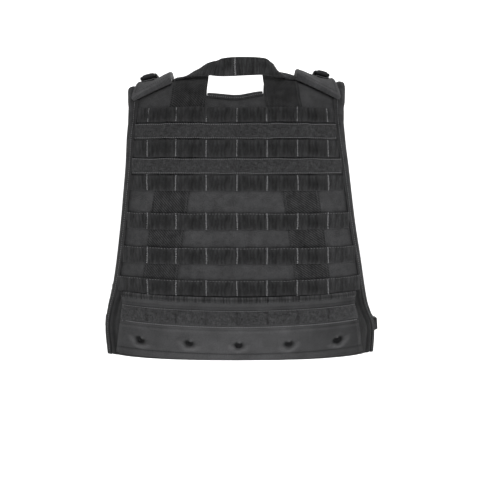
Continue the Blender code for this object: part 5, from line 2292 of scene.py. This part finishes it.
@dataclass
class ClosureFlap:
    """The wide flap across the hem, with its ribbed tape, loop strip, snaps and sewing."""

    edges: Table = (
        (-0.4040, -0.1770, 0.1828),
        (-0.3500, -0.1700, 0.1750),
        (-0.3300, -0.1675, 0.1705),
        (FLAP_TOP, -0.1700, 0.1720),
    )
    foot: float = -0.4040
    rise: float = 0.0045
    parts: int = 250
    rows: int = 78
    tape_width: float = 0.0080
    loop_top: float = -0.3310
    loop_foot: float = -0.3520
    snaps: Table = (
        (1, -0.1411, -0.3773),
        (2, -0.0705, -0.3790),
        (3, 0.0015, -0.3812),
        (4, 0.0741, -0.3799),
        (5, 0.1448, -0.3776),
    )
    dimple_size: tuple[float, float] = (0.0076, 0.0050)
    dimple_depth: float = 0.0022
    fold_seam: float = -0.3549
    hem_seam: float = -0.3945
    snap_points: int = 20
    snap_sink: float = 0.0024
    sewing: Thread = field(default_factory=lambda: Thread(0.0030, 0.0015))
    dark: Thread = field(default_factory=lambda: Thread(0.0022, 0.0008))

    def band(self, top: float, foot: float, inset: float, parts: int, rows: int) -> Patch:
        """Pattern of a band across the flap, between two levels.

        Args:
            top: Level of its top.
            foot: Level of its foot.
            inset: How far inside the flap's sides.
            parts: Cells across.
            rows: Cells from foot to top.

        Returns:
            The pattern.
        """
        across, turns = [], []
        for level in np.linspace(foot, top, rows + 1):
            left, right = (float(smooth_read(self.edges, level, column)) for column in (1, 2))
            place = FORM.spread(left + inset, right - inset, lambda x: FORM.turn_at(x, level), parts)
            across.append(place)
            turns.append(FORM.turn_at(place, level + hem_rise(place, self.rise)))
        return Patch(np.array(across), np.array(turns))

    def relief(self, patch: Patch) -> tuple[Array, Array]:
        """Folds, dimples and hem of the flap's face.

        Args:
            patch: The flap's pattern.

        Returns:
            Height above the plain face, and tone with painted shade and highlights.
        """
        x = patch.across
        level = patch.level - hem_rise(x, self.rise)
        relief = 0.0005 * ripple(x, level, 0.06, 81) + 0.0002 * ripple(x, level, 0.02, 82)
        tone = 0.80 + 0.06 * ripple(x, level, 0.09, 83)
        # Painted light: the lower part of the flap is lighter in the middle.
        tone = tone + 0.26 * bell(x, 0.0, 0.12) * (1 - ease(level, -0.36, -0.345))
        # Painted shade towards both ends and on the right; lighter above the loop strip.
        painted_shade = 0.16 * bell(np.abs(x), 0.175, 0.02) + 0.17 * ease(x, 0.05, 0.15)
        tone -= painted_shade - 0.12 * ease(level, -0.335, -0.325)
        for _, across, height in self.snaps:
            turn = float(FORM.turn_at(across, height))
            gap = FORM.point(x, patch.turn) - FORM.point(across, turn)
            lean = math.radians(-170 * across)
            u, v = gap[..., 0], gap[..., 2]
            p, q = u * math.cos(lean) - v * math.sin(lean), u * math.sin(lean) + v * math.cos(lean)
            away = np.hypot(p / self.dimple_size[0], q / self.dimple_size[1])
            folds = 1 + 0.5 * np.cos(4 * np.arctan2(q, p) + 1.0)
            crease = np.exp(-((p - 0.0014) ** 2 + (q - 0.0040) ** 2) / 0.0022**2)
            relief += 0.0016 * crease - self.dimple_depth * bell(away, 0.0, 1.0, 3)
            rim = bell(away, 1.75, 0.55) * (1.0 - 0.7 * np.sin(np.arctan2(q, p)))
            relief += 0.0008 * folds * rim
            # Painted shade in the dimple, a painted glint on the crease, and painted highlights on the lower
            # rim and to the lower left.
            tone -= 0.88 * bell(away, 0.0, 1.05, 4)
            tone += 0.8 * crease + 0.26 * rim * (q < 0)
            tone += 0.34 * np.exp(-((p + 0.0068) ** 2 + (q + 0.0044) ** 2) / 0.0028**2)
        fold = bell(level, -0.3553, 0.0011)
        second = bell(level, -0.3590, 0.0010)
        relief += 0.0007 * bell(level, -0.3572, 0.0018) - 0.0006 * second - 0.0004 * fold
        # Painted shade in the lower fold's crease and a painted highlight just below it.
        tone -= 0.22 * second - 0.16 * bell(level, -0.3625, 0.0018)
        hem = bell(level, self.hem_seam, 0.0012)
        relief += 0.0004 * (1 - ease(level, -0.3955, -0.3935)) - 0.0005 * hem
        # Painted shade in the hem's seam groove and along the bottom edge.
        tone -= 0.10 * hem + 0.12 * (1 - ease(level, -0.4035, -0.4000))
        # Painted shade: a thin dark line just above the loop strip.
        upper = ease(level, -0.331, -0.327)
        tone -= 0.10 * upper * bell(level, -0.3262, 0.0012) * 2.5
        ends = patch.uv[..., 0]
        side = np.minimum(ends - ends[:, :1], ends[:, -1:] - ends)
        relief -= 0.0010 * (1 - ease(side, 0.0, 0.006)) - 0.0006 * bell(side, 0.008, 0.0022)
        return relief, tone

    def build(self) -> None:
        """Build the flap and all that is on it."""
        patch = self.band(FLAP_TOP, self.foot, 0.0, self.parts, self.rows)
        relief, tone = self.relief(patch)
        foot, thickness = LAYERS.flap_foot, LAYERS.flap + relief
        piece = laid("closure_flap_cloth", patch, foot, thickness, "flap cloth", rounding=0.0007, tone=tone)
        settle(piece, Slot.FLAP, "closure_flap")
        width, length = patch.face_size()
        self.strips()
        for level, thread in ((self.fold_seam, self.sewing), (self.hem_seam, self.dark)):
            self.sew_level(level, LAYERS.flap_face + 0.0003, thread)
        for snap in self.snaps:
            self.snap(int(snap[0]), snap[1], snap[2])
        settle(self.sewing.finish("flap_stitching", "thread"), Slot.FLAP)
        settle(self.dark.finish("flap_dark_stitching", "dark thread"), Slot.LOOP)

    def sew_level(self, level: float, height: float, thread: Thread) -> None:
        """Sew one line of stitches across the flap at a level.

        Args:
            level: Level of the line.
            height: Height above the form.
            thread: The thread.
        """
        line = self.band(level + 0.0001, level - 0.0001, 0.003, 120, 2)
        points, out = surface_line(line, np.array(height), row=1)
        thread.along(points, out, pitch=0.0036)

    def strips(self) -> None:
        """Lay the ribbed tape and the loop strip, with the strip's dark tack lines."""
        foot = FLAP_TOP - self.tape_width
        patch = self.band(FLAP_TOP + 0.0006, foot, 0.0015, 110, 8)
        share = np.linspace(0, 1, 9)[:, None]
        roll = np.sin(np.clip(share * 1.05, 0, 1) * math.pi) ** 0.6
        height = LAYERS.flap_face + 0.0003 - 0.0018 * ease(share, 0.8, 1.0)
        thickness = LAYERS.tape * (0.6 + 0.9 * roll)
        # Painted highlight along the tape's top rim; darker across its middle.
        tone = 1.25 + 0.9 * bell(share, 0.9, 0.14) - 0.45 * bell(share, 0.45, 0.2)
        tone = np.broadcast_to(tone, patch.across.shape)
        piece = laid("flap_top_tape", patch, height, thickness, "ribbed tape", tone=tone)
        settle(piece, Slot.TAPE, "flap_binding")
        width, length = patch.face_size()
        patch = self.band(self.loop_top, self.loop_foot, 0.002, 150, 14)
        _, thickness = pile_layer(patch, 85)
        near = np.min(np.abs(patch.across[..., None] - np.array(TACKS)), axis=-1)
        tack = bell(near, 0.0, 0.0012)
        thickness = thickness - 0.0007 * tack
        tone = 1.05 + 0.14 * ripple(patch.across, patch.level, 0.012, 87) - 0.45 * tack
        height = LAYERS.flap_face + LAYERS.seat
        piece = laid("flap_loop_pile", patch, height, thickness, "loop pile", tone=tone)
        settle(piece, Slot.LOOP, "flap_loop_strip")
        width, length = patch.face_size()
        for row, thread, shift in ((0, self.dark, 0.0008), (14, self.sewing, -0.0002)):
            points, out = surface_line(patch, height + LAYERS.loop * 0.7, row=row)
            thread.along(points + np.array([0.0, 0.0, shift]), out, pitch=0.0039, wide=0.6)
        for place in TACKS:
            shift = hem_rise(place, self.rise)
            turns = FORM.turn_at(np.full(2, place), np.array([self.loop_foot + shift, self.loop_top + shift]))
            ends = FORM.lay(np.full(2, place), turns, height + LAYERS.loop * 0.66)
            self.dark.along(ends, FORM.outward(np.full(2, place), turns), pitch=0.0024)

    def snap(self, number: int, across: float, level: float) -> None:
        """Set one snap in its dimple: a rim with a sunk cap and a split ring inside.

        Args:
            number: Its number from the left.
            across: Its place across.
            level: Its level.
        """
        profile = SNAP_PROFILE
        deselect()
        bpy.ops.mesh.primitive_circle_add(vertices=self.snap_points, radius=profile[0][0], fill_type="NGON")
        piece = bpy.context.object
        piece.name = piece.data.name = f"flap_snap_{number}_cap"
        edit_all()
        bpy.ops.mesh.extrude_region_move(TRANSFORM_OT_translate={"value": (0, 0, profile[1][1])})
        for before, after in zip(profile[1:], profile[2:]):
            bpy.ops.mesh.extrude_region_move(TRANSFORM_OT_translate={"value": (0, 0, after[1] - before[1])})
            share = after[0] / before[0]
            bpy.ops.transform.resize(value=(share, share, 1.0), center_override=(0.0, 0.0, 0.0))
        bpy.ops.object.mode_set(mode="OBJECT")
        face_outwards(piece)
        soften(piece, 0.00012, 2, 30.0)
        smooth_shade(piece, 40.0)
        turn = np.array(FORM.turn_at(across, level))
        centre = FORM.lay(across, turn, LAYERS.flap_face - self.snap_sink)
        sideways, _ = FORM.slopes(np.array(across), turn)
        out = FORM.outward(np.array(across), turn)
        x_way = unit(sideways)
        y_way = np.cross(out, x_way)
        finish_hard(
            piece,
            "dark metal",
            lambda points: centre + points[:, :1] * x_way + points[:, 1:2] * y_way + points[:, 2:] * out,
        )
        settle(piece, Slot.METAL, f"flap_snap_{number}")


@dataclass
class SideWings:
    """The padded side pieces that join back and front low down, with their straps and buckles."""

    top: float = -0.3050
    foot: float = -0.4000
    thickness: float = 0.0035
    clearance: float = 0.0010
    back_angle: float = -30.0
    front_angle: float = 48.0
    strap_level: float = -0.3700
    strap_end: float = 38.0
    strap_width: float = 0.0250
    strap_thickness: float = 0.0014
    buckle_thickness: float = 0.0080
    buckle_width: float = 0.0300
    buckle_span: float = 17.0
    straps: tuple[tuple[str, int, float, float], ...] = (
        ("left", -1, 16.0, 0.0010),
        ("right", 1, 6.0, 0.0060),
    )
    sewing: Thread = field(default_factory=lambda: Thread(0.0026, 0.0007))

    @property
    def lift(self) -> float:
        """Height of the wing's inner face, which lies inside the panels and their tapes."""
        return -0.0012 - LAYERS.tape - self.clearance - self.thickness

    def ring(self, angle: Array, level: Array, height: Array | float, side: int) -> Array:
        """Points by angle round the level oval from its side, this high above it.

        Args:
            angle: Degrees round from the side.
            level: Levels on the body.
            height: Height above the oval.
            side: -1 for the left side, 1 for the right.

        Returns:
            The points, with x, y and z in the last axis.
        """
        angle, level, height = np.broadcast_arrays(angle, level, np.asarray(height, float))
        wide, deep, square = (smooth_read(FORM.sections, level, column) for column in (1, 2, 3))

        def rim(degrees: Array) -> Array:
            """Points of the oval itself at these angles.

            Args:
                degrees: Degrees round from the side.

            Returns:
                The points.
            """
            cosine, sine = np.cos(np.radians(degrees)), np.sin(np.radians(degrees))
            x = wide * np.copysign(np.abs(cosine) ** (2 / square), cosine)
            y = deep * np.copysign(np.abs(sine) ** (2 / square), sine)
            return np.stack([side * x, y, level], -1)

        ahead = rim(angle + 1.0) - rim(angle - 1.0)
        out = unit(np.stack([ahead[..., 1], -ahead[..., 0], np.zeros(angle.shape)], -1)) * side
        return rim(angle) + out * height[..., None]

    def ring_out(self, angle: Array, level: Array, side: int) -> Array:
        """The way straight off the oval at these angles."""
        return unit(self.ring(angle, level, 0.01, side) - self.ring(angle, level, 0.0, side))

    def sheet(
        self,
        name: str,
        angle: Array,
        level: Array,
        heights: tuple[Array | float, Array | float],
        side: int,
        finish: str,
        rounding: float,
        tone: Array | None = None,
    ) -> bpy.types.Object:
        """Lay a closed cloth round the side between two heights.

        Args:
            name: Name of the piece.
            angle: Degrees round, for each column.
            level: Level of each row.
            heights: Height of the inner and of the outer face.
            side: -1 for the left side, 1 for the right.
            finish: Name of its material.
            rounding: Width of the rounded edge.
            tone: Shade of each point.

        Returns:
            The piece.
        """
        angle, level = np.broadcast_arrays(angle[None, :], level[:, None])
        lower, upper = (self.ring(angle, level, height, side) for height in heights)
        along = lengths_along(upper[0])
        uv = np.stack(np.broadcast_arrays(along[None, :], level), -1)
        return shell(name, lower, upper, uv, finish, None, side < 0, rounding, tone)

    def wing(self, name: str, side: int) -> None:
        """Build one wing with a quilted border.

        Args:
            name: Its side.
            side: -1 for the left side, 1 for the right.
        """
        angle = np.linspace(self.back_angle, self.front_angle, 96)
        level = np.linspace(self.foot, self.top, 46)
        edge = np.minimum(level - level[0], level[-1] - level)[:, None]
        seam = bell(edge, 0.006, 0.0013)
        fill = 0.0003 * ripple(angle[None, :] * 0.003, level[:, None], 0.03, 91 + side) - 0.0008 * seam
        fill = fill + 0.0006 * ease(edge, 0.007, 0.02)
        # Painted shade in the quilted seam grooves; the ripple is uneven tone.
        tone = 1.0 - 0.2 * seam + 0.06 * ripple(angle[None, :] * 0.003, level[:, None], 0.05, 93)
        heights = (self.lift, self.lift + self.thickness - 0.0006 + fill)
        piece = self.sheet(f"side_wing_{name}_cover", angle, level, heights, side, "pad cloth", 0.0011, tone)
        settle(piece, Slot.PAD, f"side_wing_{name}")
        for row in (3, 42):
            points = self.ring(angle, level[row], self.lift + self.thickness - 0.0012, side)
            out = self.ring_out(angle, level[row], side)
            self.sewing.along(points, out)

    def strap(self, name: str, side: int, buckle_angle: float, stand_off: float) -> None:
        """Build the strap and its ladder buckle on one wing.

        Args:
            name: Its side.
            side: -1 for the left side, 1 for the right.
            buckle_angle: Degrees round to the buckle's middle.
            stand_off: How much thicker the buckle is than usual.
        """
        base = self.lift + self.thickness + LAYERS.seat
        half = self.strap_width / 2
        start = buckle_angle - self.buckle_span / 2 - 2.0
        angle = np.linspace(start, self.strap_end, 60)
        level = np.linspace(self.strap_level - half, self.strap_level + half, 10)
        face = base + self.strap_thickness
        strap = f"wing_strap_{name}_webbing"
        piece = self.sheet(strap, angle, level, (base, face), side, "narrow webbing", 0.0004)
        settle(piece, Slot.WEBBING, f"wing_strap_{name}")
        middle = self.ring(angle, np.array(self.strap_level), base, side)
        for at in (-2, -6):
            ends = self.ring(np.full(2, angle[at]), np.array([level[1], level[-2]]), face, side)
            out = self.ring_out(np.full(2, angle[at]), level[[1, -2]], side)
            self.sewing.along(ends, out)
        low = face + LAYERS.seat
        angles = buckle_angle + np.array([-0.5, 0.5]) * self.buckle_span
        rim = self.ring(angles, np.array(self.strap_level), low, side)
        long = float(np.linalg.norm(rim[1] - rim[0]))
        thick = self.buckle_thickness + stand_off
        bench = Bench()
        frame = bench.block((self.buckle_width, long, thick * 0.62), (0, 0, thick * 0.34))
        bench.taper(frame, (0, -1, 0), (0.88, 1.0, 0.7))
        bench.pierce(frame, 0.0036)
        for place, size, high in ((-0.16, 0.0034, 0.52), (0.2, 0.0030, 0.46)):
            bar = bench.block((self.buckle_width * 0.80, size, thick * 0.34), (0, place * long, thick * high))
            bench.taper(bar, (0, 0, 1), (1.0, 0.6, 1.0))
        size = (self.buckle_width * 0.72, long * 0.30, thick * 0.40)
        tab = bench.block(size, (0, -long * 0.30, thick * 0.80))
        bench.taper(tab, (0, 0, 1), (0.8, 0.7, 1.0))
        bench.recess(tab, (0, 0, 1), 0.0020, 0.0007)
        cuts = np.linspace(-0.45 * long, 0.45 * long, 7).tolist()
        buckle = bench.join(f"wing_buckle_{name}_frame", 0.0008, cuts)

        def bent(points: Array) -> Array:
            """Lay the flat buckle round the wing."""
            here = buckle_angle + points[:, 1] / long * self.buckle_span
            return self.ring(here, self.strap_level + points[:, 0], low + points[:, 2], side)

        finish_hard(buckle, "moulded plastic", bent)
        face_outwards(buckle)
        settle(buckle, Slot.PLASTIC, f"wing_buckle_{name}")

    def build(self) -> None:
        """Build wings, straps, buckles and their sewing."""
        for name, side in (("left", -1), ("right", 1)):
            self.wing(name, side)
        for strap in self.straps:
            self.strap(*strap)
        settle(self.sewing.finish("wing_stitching", "dark thread"), Slot.PAD)


@dataclass(frozen=True)
class SoftBox:
    """One soft studio light, aimed at the middle of the vest."""

    name: str
    place: tuple[float, float, float]
    power: float
    size: float
    aim: tuple[float, float, float] = (0.0, 0.0, -0.2)

    def build(self) -> None:
        """Add the light."""
        lamp = bpy.data.lights.new(self.name, "AREA")
        lamp.energy, lamp.size = self.power, self.size
        light = bpy.data.objects.new(self.name, lamp)
        light.location = self.place
        light.rotation_euler = (Vector(self.aim) - Vector(self.place)).to_track_quat("-Z", "Y").to_euler()
        bpy.context.scene.collection.objects.link(light)


@dataclass(frozen=True)
class Studio:
    """Pale curved floor, soft light and the camera at the photograph's angle."""

    lights: tuple[SoftBox, ...] = (
        SoftBox("key light", (0.35, -1.9, 0.95), 12.5, 0.8),
        SoftBox("fill light", (1.3, -1.9, 0.2), 2.5, 1.2),
        SoftBox("top light", (0.0, -0.5, 1.5), 4.6, 0.8),
        SoftBox("far light", (0.4, 1.9, 0.9), 12.0, 1.4),
    )
    lens: float = 77.025
    place: tuple[float, float, float] = (0.0037, -1.625, -0.09475)
    tilt: float = 85.0
    floor_level: float = -0.75
    ambient: float = 0.17

    def build(self) -> None:
        """Build the floor, the lights, the world and the camera."""
        self.floor()
        for light in self.lights:
            light.build()
        world = bpy.data.worlds.new("studio world")
        world.use_nodes = True
        backdrop = world.node_tree.nodes["Background"]
        backdrop.inputs["Color"].default_value = (1.0, 1.0, 1.0, 1.0)
        wires = Wiring(world.node_tree)
        seen = wires.add("ShaderNodeLightPath").outputs["Is Camera Ray"]
        strength = wires.math("MULTIPLY_ADD", seen, 1.0 - self.ambient, self.ambient)
        wires.join(strength, backdrop, "Strength")
        scene = bpy.context.scene
        scene.world = world
        scene.view_settings.view_transform = "Standard"
        scene.view_settings.look = "None"
        lens = bpy.data.cameras.new("camera")
        lens.lens, lens.sensor_width = self.lens, 36.0
        camera = bpy.data.objects.new("camera", lens)
        camera.location = self.place
        camera.rotation_euler = Euler((math.radians(self.tilt), 0.0, 0.0))
        scene.collection.objects.link(camera)
        scene.camera = camera

    def floor(self) -> None:
        """A pale floor that curves up behind."""
        material, wires, shader = start_material("pale floor")
        place = wires.add("ShaderNodeTexCoord").outputs["Object"]
        cloud = wires.noise(place, 3.0)
        shade = wires.math("MULTIPLY_ADD", cloud, 0.02, 0.90)
        pale = wires.add("ShaderNodeCombineColor", None, _0=shade, _1=shade, _2=shade)
        wires.join(pale.outputs[0], shader, "Base Color")
        wires.join(pale.outputs[0], shader, "Emission Color")
        shader.inputs["Emission Strength"].default_value = 0.9
        shader.inputs["Roughness"].default_value = 0.9
        deselect()
        bpy.ops.mesh.primitive_grid_add(x_subdivisions=8, y_subdivisions=60, size=1.0)
        stage = bpy.context.object
        stage.name = "studio_floor"
        points = read_points(stage)
        run = (points[:, 1] + 0.5) * 9.0
        flat, bend = 6.0, 1.0
        angle = np.clip((run - flat) / bend, 0.0, math.pi / 2)
        up = np.maximum(run - flat - bend * math.pi / 2, 0.0)
        y = -3.5 + np.minimum(run, flat) + bend * np.sin(angle)
        z = self.floor_level + bend * (1 - np.cos(angle)) + up
        placed = np.stack([points[:, 0] * 10.0, y, z], -1)
        move_points(stage, placed)
        stage.data.materials.append(material)
        stage.data.shade_smooth()


def clear_leftovers() -> None:
    """Remove what Blender starts with, such as its own cube, light and camera."""
    kept = set(frame["nodes"].values()) | set(frame["bodies"].values())
    for leftover in list(bpy.data.objects):
        if leftover not in kept:
            bpy.data.objects.remove(leftover)


def main() -> None:
    """Build every piece of the vest and its studio."""
    logging.basicConfig(level=logging.INFO, format="%(name)s %(message)s")
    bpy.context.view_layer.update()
    clear_leftovers()
    for finish in (*CLOTHS, *HARDS):
        finish.make()
    Studio().build()
    panels = PaddedPanels()
    pads = ShoulderPads()
    for assembly in (
        panels,
        EdgeTapes(panels),
        ShoulderWebbings(),
        PouchWebbing(),
        DragHandle(),
        pads,
        ShoulderBuckles(pads),
        ClosureFlap(),
        SideWings(),
    ):
        assembly.build()
        log.info("%s is ready", type(assembly).__name__)


if __name__ == "__main__":
    main()
